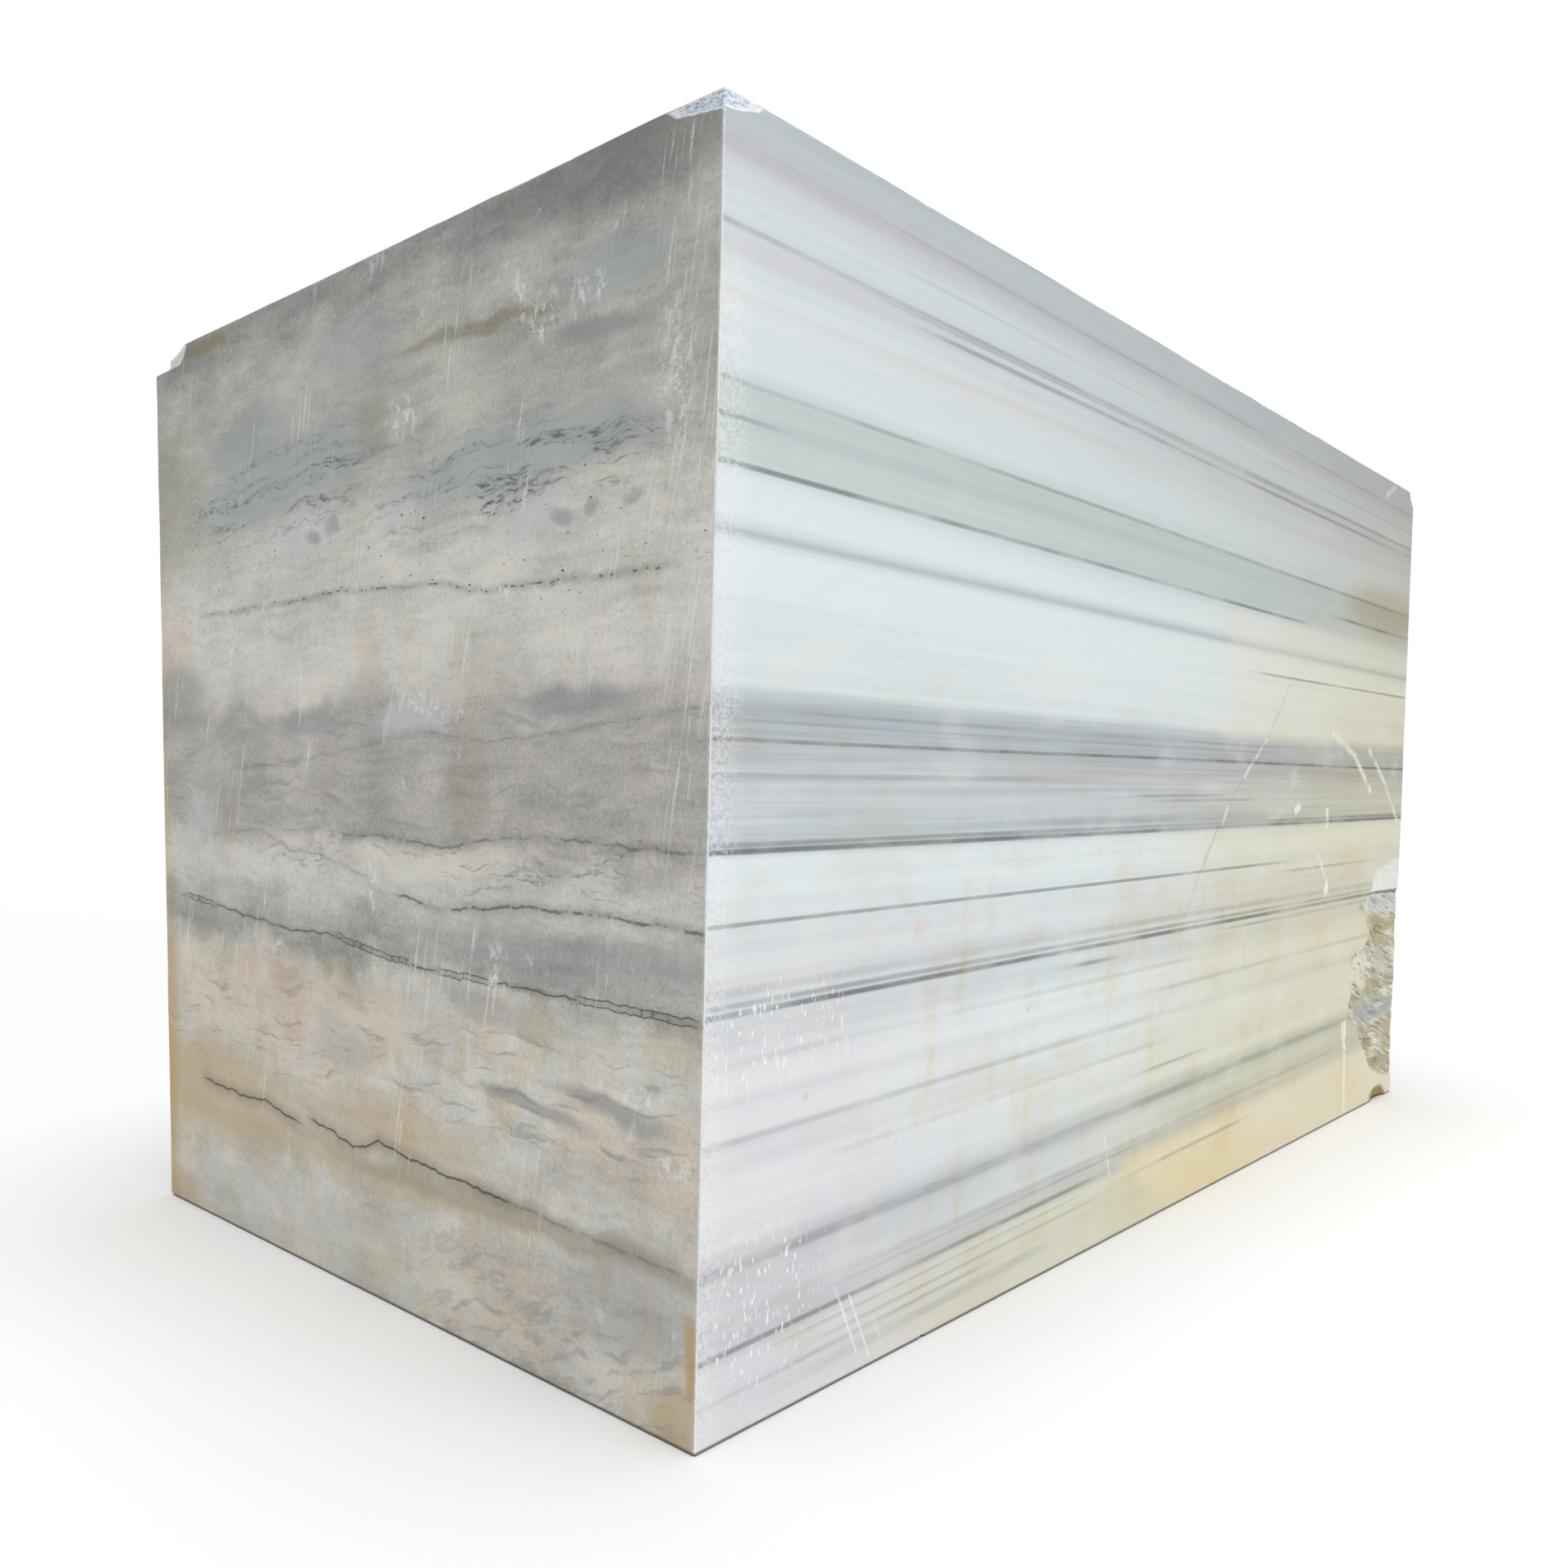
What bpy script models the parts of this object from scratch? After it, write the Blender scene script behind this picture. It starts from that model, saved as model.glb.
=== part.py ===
"""Sawn block of banded marble: worn edges, spalled corners, small chips and one broken patch.

Metres, +Z up. The length runs along X and the front is the long face towards -Y.
While it is shaped the block stands with its near bottom corner at the origin; at the end it is
moved so that the origin is at the centre of its underside.
"""
import math
import random

import bmesh
import bpy
from mathutils import Euler, Matrix, Vector, noise

# Driving dimensions of the sawn block, at its foot and at its near corner.
LENGTH = 2.487
WIDTH = 1.381
HEIGHT = 1.550

# How far each sawn face runs out of true, in metres per metre.
NEAR_END_LEAN = -0.0136
FAR_END_LEAN = -0.0124
FRONT_LEAN = -0.0293
BACK_LEAN = 0.0357
TOP_FALL_ALONG = -0.0122
TOP_FALL_ACROSS = 0.0008

# Wear that rounds every sawn edge. The edges of the front and of the near end stayed crisper.
EDGE_WEAR = 0.0030
CRISP_SHARE = 0.62
WORN_SHARE = 1.25
WEAR_LEAST = 0.40
WEAR_MOST = 2.2
WEAR_WAVE = 0.09
WEAR_STEP = 0.068
CRISP_FACES = {"front", "near_end"}
FLAT_ANGLE = math.radians(0.03)

# Small chips strewn along the edges, by how many in a metre and how large.
CHIP_SHORTEST = 0.010
CHIP_LONGEST = 0.050
WORN_CHIPS = 3.8
CRISP_CHIPS = 1.1
CRISP_CHIP_SHORTEST = 0.005
CRISP_CHIP_SHARE = 0.12
CHIP_FREE_END = 0.09
ACROSS_LEAST = 0.1
FINE_CHIP = 0.013

# The broken patch at the far end of the front face, in length and height.
# Above the bruise's foot the stone is only crushed, and lies shallower.
PATCH_DEPTH = 0.021
PATCH_RIM = 0.028
PATCH_EDGE_DEPTH = 0.0035
PATCH_EDGE_RUN = 0.105
PATCH_CELL = 0.0124
PATCH_MARGIN = 0.018
PATCH_STAND_OFF = 0.030
RAGGED_RIM = 0.010
CRUMB_DEPTH = 0.0022
LEAST_CUT = 0.0006
BRUISE_FOOT = 0.515
BRUISE_SHARE = 0.30
PATCH_OUTLINE = [
    (2.560, 0.590), (2.400, 0.592), (2.305, 0.572), (2.272, 0.528), (2.186, 0.497),
    (2.245, 0.455), (2.278, 0.424), (2.262, 0.404), (2.150, 0.376), (2.156, 0.300),
    (2.138, 0.232), (2.198, 0.206), (2.232, 0.160), (2.300, 0.100), (2.350, 0.068),
    (2.455, 0.040), (2.560, 0.026),
]

# The broken scales follow the bedding, which dips towards the far end.
SCALE_LENGTH = 0.150
SCALE_HEIGHT = 0.058
SCALE_DIP = 0.27
SCALE_STEP = 0.90

STONE_COLOUR = (0.66, 0.67, 0.64, 1.0)
STONE_ROUGHNESS = 0.42

NAME = "marble_block"


def clear_scene():
    for thing in list(bpy.data.objects):
        bpy.data.objects.remove(thing, do_unlink=True)


def new_collection(name):
    group = bpy.data.collections.new(name)
    bpy.context.scene.collection.children.link(group)
    return group


def put_mesh(bm, name, group):
    """Turn a bmesh into an object of the given collection."""
    mesh = bpy.data.meshes.new(name)
    bm.to_mesh(mesh)
    bm.free()
    thing = bpy.data.objects.new(name, mesh)
    group.objects.link(thing)
    return thing


def stone_material():
    stone = bpy.data.materials.new("banded_marble")
    stone.use_nodes = True
    shader = stone.node_tree.nodes["Principled BSDF"]
    shader.inputs["Base Color"].default_value = STONE_COLOUR
    shader.inputs["Roughness"].default_value = STONE_ROUGHNESS
    shader.inputs["Metallic"].default_value = 0.0
    return stone


# ---------------------------------------------------------------- the sawn block

def sawn_planes():
    """Each sawn face as its outward normal and a point on it."""
    foot = Vector((0, 0, 0))
    return {
        "near_end": (Vector((-1, 0, NEAR_END_LEAN)).normalized(), foot),
        "far_end": (Vector((1, 0, -FAR_END_LEAN)).normalized(), Vector((LENGTH, 0, 0))),
        "front": (Vector((0, -1, FRONT_LEAN)).normalized(), foot),
        "back": (Vector((0, 1, -BACK_LEAN)).normalized(), Vector((0, WIDTH, 0))),
        "underside": (Vector((0, 0, -1)), foot),
        "top": (Vector((-TOP_FALL_ALONG, -TOP_FALL_ACROSS, 1)).normalized(), Vector((0, 0, HEIGHT))),
    }


PLANES = sawn_planes()


def height_over(place, face):
    """Signed distance of a place from a sawn face, positive outside the block."""
    normal, point = PLANES[face]
    return (place - point).dot(normal)


def meeting_point(faces):
    """The corner where three sawn faces meet."""
    normals = Matrix([PLANES[face][0] for face in faces])
    offsets = Vector([PLANES[face][0].dot(PLANES[face][1]) for face in faces])
    return normals.inverted() @ offsets


def corner_of(end, side, level):
    return meeting_point((end, side, level))


def faces_at(signs):
    """The three sawn faces at a corner of the unit cube."""
    return (
        "far_end" if signs.x > 0 else "near_end",
        "back" if signs.y > 0 else "front",
        "top" if signs.z > 0 else "underside",
    )


def slice_block(bm):
    """Cut the block into unequal lengths along each axis, so that its edges can wear unevenly."""
    draw = random.Random(11)
    for axis, extent in ((0, LENGTH), (1, WIDTH), (2, HEIGHT)):
        normal = Vector((0, 0, 0))
        normal[axis] = 1
        place = WEAR_STEP
        while place < extent - WEAR_STEP:
            bmesh.ops.bisect_plane(
                bm,
                geom=bm.verts[:] + bm.edges[:] + bm.faces[:],
                plane_co=normal * place,
                plane_no=normal,
            )
            place += WEAR_STEP * draw.uniform(0.45, 1.5)


def wear_edges(bm):
    """Widen and narrow the rounded edges about the sharp edge they stand for."""
    for vert in bm.verts:
        near = [face for face in PLANES if height_over(vert.co, face) > -EDGE_WEAR * 1.02]
        if len(near) == 2:
            along = PLANES[near[0]][0].cross(PLANES[near[1]][0]).normalized()
            rows = Matrix([PLANES[near[0]][0], PLANES[near[1]][0], along])
            sharp = rows.inverted() @ Vector((
                PLANES[near[0]][0].dot(PLANES[near[0]][1]),
                PLANES[near[1]][0].dot(PLANES[near[1]][1]),
                along.dot(vert.co),
            ))
        elif len(near) == 3:
            sharp = meeting_point(near)
        else:
            continue
        slow = noise.noise(sharp / WEAR_WAVE + Vector((4.1, 7.7, 1.3)))
        quick = noise.noise(sharp / (WEAR_WAVE * 0.31) + Vector((9.2, 3.4, 6.6)))
        share = min(WEAR_MOST, max(WEAR_LEAST, 0.95 + 1.3 * slow + 0.9 * quick))
        share *= CRISP_SHARE if CRISP_FACES.intersection(near) else WORN_SHARE
        vert.co = sharp + (vert.co - sharp) * share


def sawn_block(group):
    """The whole block: six sawn faces that lean a little, joined by worn edges."""
    bm = bmesh.new()
    bmesh.ops.create_cube(bm, size=1.0)
    for vert in bm.verts:
        vert.co = meeting_point(faces_at(vert.co))
    bmesh.ops.bevel(
        bm,
        geom=bm.edges[:],
        offset=EDGE_WEAR,
        offset_type="OFFSET",
        segments=2,
        profile=0.5,
        affect="EDGES",
        material=-1,
    )
    slice_block(bm)
    wear_edges(bm)
    bmesh.ops.dissolve_limit(bm, angle_limit=FLAT_ANGLE, verts=bm.verts[:], edges=bm.edges[:])
    bmesh.ops.recalc_face_normals(bm, faces=bm.faces[:])
    return put_mesh(bm, NAME, group)


# ---------------------------------------------------------------- spalls and chips

def stone_lump(name, group, centre, radii, turn=(0, 0, 0), boxy=0.0, rough=0.14, detail=3):
    """A stretched ball with a broken surface, which leaves its scar where it cuts.

    boxy squares it up, and rough sets how far its surface strays.
    """
    bm = bmesh.new()
    bmesh.ops.create_icosphere(bm, subdivisions=detail, radius=1.0)
    seed = Vector(centre) * 17.0
    for vert in bm.verts:
        outward = vert.co.normalized()
        squared = 1 + boxy * (1 / max(abs(side) for side in outward) - 1)
        slow = noise.noise(outward * 1.7 + seed)
        quick = noise.noise(outward * 4.3 + seed)
        facet = noise.cell(outward * 2.2 + seed)
        vert.co = outward * squared * (1 + rough * (1.1 * slow + 0.9 * quick + 0.6 * facet))
    stretch = Matrix.Diagonal(Vector(radii)).to_4x4()
    turned = Euler(turn).to_matrix().to_4x4()
    bmesh.ops.transform(bm, matrix=Matrix.Translation(centre) @ turned @ stretch, verts=bm.verts)
    return put_mesh(bm, name, group)


def crisp_corners(group):
    """The spalls on the corners of the front and of the near end."""
    near_top = corner_of("near_end", "front", "top")
    near_foot = corner_of("near_end", "front", "underside")
    back_top = corner_of("near_end", "back", "top")
    back_foot = corner_of("near_end", "back", "underside")
    far_top = corner_of("far_end", "front", "top")
    far_foot = corner_of("far_end", "front", "underside")
    square = (0, 0, 0)
    spalls = {
        "near_top_along": (
            near_top, (0.000, -0.0030, -0.002), (0.086, 0.0070, 0.027), (0, -0.24, 0), 0.1, 0.10),
        "near_top_across": (
            near_top, (-0.0030, 0.000, -0.002), (0.0062, 0.130, 0.027), (0.13, 0, 0), 0.1, 0.10),
        "near_top_tip": (
            near_top, (-0.006, -0.006, 0.004), (0.0165, 0.0165, 0.032), (0, 0, 0.2), 0.0, 0.06),
        "back_top_notch": (
            back_top, (-0.014, 0.009, 0.008), (0.042, 0.300, 0.046), (0, 0, -0.19), 0.6, 0.05),
        "far_top": (far_top, (0.012, 0.000, 0.014), (0.047, 0.070, 0.050), square, 0.0, 0.05),
        "near_foot": (near_foot, (-0.003, -0.003, -0.006), (0.009, 0.012, 0.010), square, 0.0, 0.08),
        "back_foot": (back_foot, (-0.002, -0.002, -0.004), (0.014, 0.020, 0.009), square, 0.0, 0.10),
        "far_foot": (far_foot, (0.012, -0.008, -0.006), (0.028, 0.026, 0.026), square, 0.0, 0.10),
        "far_foot_scallop": (
            far_foot, (-0.104, -0.004, -0.006), (0.062, 0.013, 0.040), square, 0.0, 0.08),
    }
    for name, (corner, offset, radii, turn, boxy, rough) in spalls.items():
        stone_lump("spall_" + name, group, corner + Vector(offset), radii, turn, boxy, rough)


def flake_run(name, group, centre, radii, turn, along):
    """A larger scar: one deep flake between two shallower ones further along the edge."""
    centre = Vector(centre)
    radii = Vector(radii)
    side = Vector((0, 0, 0))
    side[along] = radii[along]
    stone_lump(name + "_main", group, centre, radii, turn, boxy=0.25, rough=0.20)
    for end, share, reach in (("first", 0.62, -0.95), ("last", 0.48, 1.05)):
        stone_lump(
            f"{name}_{end}", group, centre + side * reach, radii * share, turn,
            boxy=0.35, rough=0.22, detail=2)


def worn_corners(group):
    """The larger scars on the corners and edges of the back and of the far end."""
    far_back_top = corner_of("far_end", "back", "top")
    far_back_foot = corner_of("far_end", "back", "underside")
    back_top = corner_of("near_end", "back", "top")
    back_foot = corner_of("near_end", "back", "underside")
    far_foot = corner_of("far_end", "front", "underside")
    scars = {
        "far_back_top": (
            far_back_top, (0.014, 0.022, 0.020), (0.100, 0.082, 0.066), (0.2, 0.3, 0.4), 1),
        "far_back_foot": (
            far_back_foot, (0.016, 0.010, 0.020), (0.060, 0.052, 0.080), (0.1, 0, 0.3), 2),
        "back_top": (
            back_top, (1.62, 0.014, 0.006), (0.150, 0.042, 0.040), (0.15, 0.02, 0.02), 0),
        "back_foot": (back_foot, (0.80, 0.012, 0.000), (0.105, 0.034, 0.040), (0, 0, 0.03), 0),
        "far_top": (far_back_top, (0.010, -0.47, 0.010), (0.032, 0.095, 0.036), (0, 0, 0.04), 1),
        "far_back": (far_back_foot, (0.006, 0.040, 0.86), (0.032, 0.028, 0.120), (0.03, 0, 0), 2),
        "far_foot": (far_foot, (0.008, 0.72, -0.004), (0.028, 0.080, 0.030), (0, 0, 0.03), 1),
    }
    for name, (corner, offset, radii, turn, along) in scars.items():
        flake_run("scar_" + name, group, corner + Vector(offset), radii, turn, along)


def sawn_edges():
    """The twelve sawn edges, each as its two corners and the two faces that meet there."""
    ends = ("near_end", "far_end")
    sides = ("front", "back")
    levels = ("underside", "top")
    edges = []
    for side in sides:
        for level in levels:
            corners = [corner_of(end, side, level) for end in ends]
            edges.append((*corners, {side, level}))
    for end in ends:
        for level in levels:
            corners = [corner_of(end, side, level) for side in sides]
            edges.append((*corners, {end, level}))
    for end in ends:
        for side in sides:
            corners = [corner_of(end, side, level) for level in levels]
            edges.append((*corners, {end, side}))
    return edges


def strewn_chips(group):
    """Small chips at uneven places along every edge but the near upright one, which is whole."""
    middle = Vector((LENGTH, WIDTH, HEIGHT)) / 2
    for number, (start, end, faces) in enumerate(sawn_edges()):
        if faces == CRISP_FACES:
            continue
        draw = random.Random(40 + number)
        crisp = bool(faces & CRISP_FACES)
        run = end - start
        count = round((CRISP_CHIPS if crisp else WORN_CHIPS) * run.length)
        for place in range(count):
            along = CHIP_FREE_END + (run.length - 2 * CHIP_FREE_END) * (place + draw.random()) / count
            size = CHIP_SHORTEST + (CHIP_LONGEST - CHIP_SHORTEST) * draw.random() ** 2.4
            size = CRISP_CHIP_SHORTEST + size * CRISP_CHIP_SHARE if crisp else size
            on_edge = start + run * (along / run.length)
            outward = on_edge - middle
            outward -= run * (outward.dot(run) / run.length_squared)
            stand_off = size * draw.uniform(0.08, 0.35)
            centre = on_edge + Vector([
                math.copysign(stand_off, part) if abs(part) > ACROSS_LEAST else 0 for part in outward])
            radii = [size * draw.uniform(0.45, 0.75) for _ in range(3)]
            radii[max(range(3), key=lambda axis: abs(run[axis]))] = size * draw.uniform(0.9, 2.1)
            turn = [draw.uniform(-0.25, 0.25) for _ in range(3)]
            boxy = draw.uniform(0.0, 0.6)
            detail = 1 if size < FINE_CHIP else 2
            stone_lump(f"chip_{number:02d}_{place:02d}", group, centre, radii, turn, boxy, 0.18, detail)


# ---------------------------------------------------------------- the broken patch

def inside_patch(x, z):
    """Distance from a place on the front face to the patch's outline, negative outside."""
    place = Vector((x, z))
    inside = False
    nearest = 1.0
    for first, second in zip(PATCH_OUTLINE, PATCH_OUTLINE[1:] + PATCH_OUTLINE[:1]):
        start = Vector(first)
        run = Vector(second) - start
        share = min(1.0, max(0.0, (place - start).dot(run) / run.length_squared))
        nearest = min(nearest, (place - start - run * share).length)
        if (start.y > z) != (second[1] > z):
            crossing = start.x + run.x * (z - start.y) / run.y
            inside = inside != (x < crossing)
    return nearest if inside else -nearest


def broken_scale(x, z):
    """Flat scales of unlike depth and tilt, drawn out along the bedding, about 0 on average."""
    place = Vector((x / SCALE_LENGTH, 0.0, (z + SCALE_DIP * x) / SCALE_HEIGHT))
    centre = noise.voronoi(place)[1][0]
    level = noise.noise(centre * 5.3 + Vector((2.7, 0.4, 8.1)))
    tilt_along = noise.noise(centre * 3.9 + Vector((6.2, 1.9, 0.3)))
    tilt_up = noise.noise(centre * 4.7 + Vector((1.1, 8.3, 5.5)))
    from_centre = place - centre
    return level + 0.9 * (from_centre.x * tilt_along + from_centre.z * tilt_up)


def patch_depth(x, z):
    """How deep the broken surface lies behind the sawn front, negative where it stands proud."""
    ragged = noise.noise(Vector((x, 0.0, z)) / 0.045) + 0.6 * noise.noise(Vector((x, 3.0, z)) / 0.017)
    margin = inside_patch(x, z) + RAGGED_RIM * ragged
    if margin <= 0:
        return max(-PATCH_STAND_OFF, margin)
    bowl = PATCH_DEPTH * (1 - math.exp(-margin / PATCH_RIM))
    to_edge = min(1.0, max(0.0, (LENGTH - x) / PATCH_EDGE_RUN))
    bowl = PATCH_EDGE_DEPTH + (bowl - PATCH_EDGE_DEPTH) * to_edge if bowl > PATCH_EDGE_DEPTH else bowl
    bowl *= BRUISE_SHARE if z > BRUISE_FOOT else 1.0
    scales = 1 + SCALE_STEP * broken_scale(x, z)
    crumbs = CRUMB_DEPTH * noise.noise(Vector((x, 6.0, z)) / 0.014)
    return max(LEAST_CUT, bowl * scales + crumbs * min(1.0, margin / PATCH_RIM))


def patch_cutter(group):
    """A slab in front of the block whose back is the broken surface."""
    along = [point[0] for point in PATCH_OUTLINE]
    upward = [point[1] for point in PATCH_OUTLINE]
    start, length = min(along) - PATCH_MARGIN, max(along) - min(along) + PATCH_MARGIN
    foot, height = min(upward) - PATCH_MARGIN, max(upward) - min(upward) + 2 * PATCH_MARGIN
    bm = bmesh.new()
    columns = round(length / PATCH_CELL)
    rows = round(height / PATCH_CELL)
    bmesh.ops.create_grid(bm, x_segments=columns, y_segments=rows, size=0.5)
    for vert in bm.verts:
        x = start + length * (vert.co.x + 0.5)
        z = foot + height * (vert.co.y + 0.5)
        vert.co = Vector((x, FRONT_LEAN * z + patch_depth(x, z), z))
    front = bmesh.ops.extrude_face_region(bm, geom=bm.faces[:])["geom"]
    for part in front:
        if isinstance(part, bmesh.types.BMVert):
            part.co.y = FRONT_LEAN * part.co.z - 2 * PATCH_STAND_OFF
    bmesh.ops.recalc_face_normals(bm, faces=bm.faces[:])
    return put_mesh(bm, "spall_broken_patch", group)


# ---------------------------------------------------------------- the finished piece

def cut_away(block, cutters):
    """Take every cutter out of the block, and keep the cutters as hidden wires."""
    for cutter in cutters.objects:
        cutter.hide_render = True
        cutter.display_type = "WIRE"
    cut = block.modifiers.new("broken_away", "BOOLEAN")
    cut.operation = "DIFFERENCE"
    cut.solver = "EXACT"
    cut.operand_type = "COLLECTION"
    cut.collection = cutters
    bpy.context.view_layer.update()
    graph = bpy.context.evaluated_depsgraph_get()
    finished = bpy.data.meshes.new_from_object(block.evaluated_get(graph))
    block.modifiers.clear()
    block.data = finished


def centre_on_foot(block, cutters):
    """Put the origin at the centre of the block's footprint, at the underside."""
    places = [vert.co for vert in block.data.vertices]
    low = Vector([min(place[axis] for place in places) for axis in range(3)])
    high = Vector([max(place[axis] for place in places) for axis in range(3)])
    shift = Matrix.Translation(-Vector(((low.x + high.x) / 2, (low.y + high.y) / 2, low.z)))
    block.data.transform(shift)
    for cutter in cutters.objects:
        cutter.data.transform(shift)


def main():
    clear_scene()
    model = new_collection("marble block")
    cutters = new_collection("cutters")
    block = sawn_block(model)
    crisp_corners(cutters)
    worn_corners(cutters)
    strewn_chips(cutters)
    patch_cutter(cutters)
    cut_away(block, cutters)
    centre_on_foot(block, cutters)
    block.data.materials.clear()
    block.data.materials.append(stone_material())


main()
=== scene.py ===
"""Looks of the sawn block of banded marble: its broken surfaces, its marble, and a plain studio.

Metres, +Z up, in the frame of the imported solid. Places on the stone are given from its near foot
corner: along the length, deep into the block from the front, and high above the underside.
"""
import math

import bmesh
import bpy
from mathutils import Matrix, Vector, noise


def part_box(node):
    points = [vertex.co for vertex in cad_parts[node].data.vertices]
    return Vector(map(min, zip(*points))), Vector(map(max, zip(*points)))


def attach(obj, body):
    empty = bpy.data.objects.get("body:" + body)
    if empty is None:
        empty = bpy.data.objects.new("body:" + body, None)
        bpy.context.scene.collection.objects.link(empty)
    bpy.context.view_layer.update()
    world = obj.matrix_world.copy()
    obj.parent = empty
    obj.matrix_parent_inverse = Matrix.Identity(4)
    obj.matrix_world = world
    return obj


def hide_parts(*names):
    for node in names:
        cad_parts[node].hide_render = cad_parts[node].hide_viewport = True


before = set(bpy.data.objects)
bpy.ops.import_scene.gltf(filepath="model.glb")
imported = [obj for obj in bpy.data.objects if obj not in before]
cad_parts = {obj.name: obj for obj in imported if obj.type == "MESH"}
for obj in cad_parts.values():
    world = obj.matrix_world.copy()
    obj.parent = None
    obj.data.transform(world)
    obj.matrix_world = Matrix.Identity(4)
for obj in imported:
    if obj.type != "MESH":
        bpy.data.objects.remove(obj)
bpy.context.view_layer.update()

# The sawn block, as the solid has it: its size at the foot, and how far each face runs out of true.
LENGTH = 2.487
WIDTH = 1.381
HEIGHT = 1.550
NEAR_END_LEAN = -0.0136
FAR_END_LEAN = -0.0124
FRONT_LEAN = -0.0293
BACK_LEAN = 0.0357
TOP_FALL_ALONG = -0.0122
TOP_FALL_ACROSS = 0.0008

LOW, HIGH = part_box("marble_block")
NEAR_FOOT = Vector((LOW.x - NEAR_END_LEAN * HIGH.z, LOW.y - FRONT_LEAN * HEIGHT, 0))


# ---------------------------------------------------------------- the sawn faces

def sawn_planes():
    """Each sawn face as its outward normal and a point on it, from the near foot corner."""
    foot = Vector((0, 0, 0))
    return {
        "near_end": (Vector((-1, 0, NEAR_END_LEAN)).normalized(), foot),
        "far_end": (Vector((1, 0, -FAR_END_LEAN)).normalized(), Vector((LENGTH, 0, 0))),
        "front": (Vector((0, -1, FRONT_LEAN)).normalized(), foot),
        "back": (Vector((0, 1, -BACK_LEAN)).normalized(), Vector((0, WIDTH, 0))),
        "underside": (Vector((0, 0, -1)), foot),
        "top": (Vector((-TOP_FALL_ALONG, -TOP_FALL_ACROSS, 1)).normalized(), Vector((0, 0, HEIGHT))),
    }


PLANES = sawn_planes()


def depths(place):
    """How far a place lies behind each sawn face."""
    from_foot = place - NEAR_FOOT
    return {face: (point - from_foot).dot(normal) for face, (normal, point) in PLANES.items()}


# ---------------------------------------------------------------- the broken surfaces

# A corner this near a sawn plane lies in it, and an edge this short is a sliver to take out.
SAWN_WITHIN = 0.00015
SPECK = 0.00002

# How fine the broken surfaces are worked, and how much they are evened before the relief goes in.
FINE_EDGE = 0.0052
SPLITS = 3
EVENING = 0.45

# The relief: how deep it is, how large its leaves, lumps and grains are, how the leaves dip, and how far
# behind the sawn faces it is at its full depth.
CRYSTAL_DEPTH = 0.0022
GRAIN_DEPTH = 0.0011
LEAF_SIZE = (0.030, 0.012, 0.010)
LEAF_DIP = 0.30
LUMP_SIZE = 0.017
GRAIN_SIZE = 0.0048
FULL_BREAK = 0.0060

# The fraying of the rims: how far, how fine, and a shift of the noise for each axis.
RIM_JITTER = 0.0011
FRAY_SIZE = 0.006
FRAY_SHIFTS = (3, 11, 19)

# Which finish each sawn face takes: along the grain, across it, or neither where it is broken.
ALONG, ACROSS, BROKEN = 0, 1, 2
GRAIN_OF = {
    "front": ALONG, "back": ALONG, "top": ALONG, "underside": ALONG,
    "near_end": ACROSS, "far_end": ACROSS,
}


def sawn_face_of(face):
    """The sawn face that a mesh face lies in, or None where the stone is broken or worn."""
    found = [depths(vert.co) for vert in face.verts]
    for name in PLANES:
        if all(abs(depth[name]) < SAWN_WITHIN for depth in found):
            return name
    return None


def triangulate(bm):
    """Cut every face of more than three corners into triangles."""
    bmesh.ops.triangulate(bm, faces=[face for face in bm.faces if len(face.verts) > 3])


def refine_breaks(bm):
    """Split the facets of every broken or worn surface until their edges are a few millimetres."""
    for _ in range(SPLITS):
        rough = [face for face in bm.faces if sawn_face_of(face) is None]
        edges = {edge for face in rough for edge in face.edges if edge.calc_length() > FINE_EDGE}
        bmesh.ops.subdivide_edges(bm, edges=list(edges), cuts=1, use_grid_fill=True)
        triangulate(bm)
        mend(bm)


def mend(bm):
    """Take out what splitting a mesh leaves behind: slivers, and faces folded flat on each other."""
    bmesh.ops.remove_doubles(bm, verts=bm.verts[:], dist=SPECK)
    bmesh.ops.dissolve_degenerate(bm, edges=bm.edges[:], dist=SPECK)
    triangulate(bm)
    by_corners = {}
    for face in bm.faces:
        by_corners.setdefault(frozenset(face.verts), []).append(face)
    folded = [face for faces in by_corners.values() if len(faces) > 1 for face in faces]
    bmesh.ops.delete(bm, geom=folded, context="FACES")


def join_sawn_faces(bm):
    """Make each sawn plane one face, so that its rim can be frayed without folding slivers over."""
    found = {}
    for face in bm.faces:
        found.setdefault(sawn_face_of(face), []).append(face)
    for name in PLANES:
        bmesh.ops.dissolve_faces(bm, faces=found.get(name, []))


def break_depth(place):
    """How far the crystals of a broken surface lie behind its coarse facets."""
    long, thick, tall = LEAF_SIZE
    dipping = Vector((place.x / long, place.y / thick, (place.z + LEAF_DIP * place.x) / tall))
    cleaved = noise.voronoi(dipping)[0][0]
    lumps = 0.5 + 0.5 * noise.noise(place / LUMP_SIZE)
    grains = 0.5 + 0.5 * noise.noise(place / GRAIN_SIZE)
    return CRYSTAL_DEPTH * min(1.0, cleaved) * lumps + GRAIN_DEPTH * grains


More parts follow.
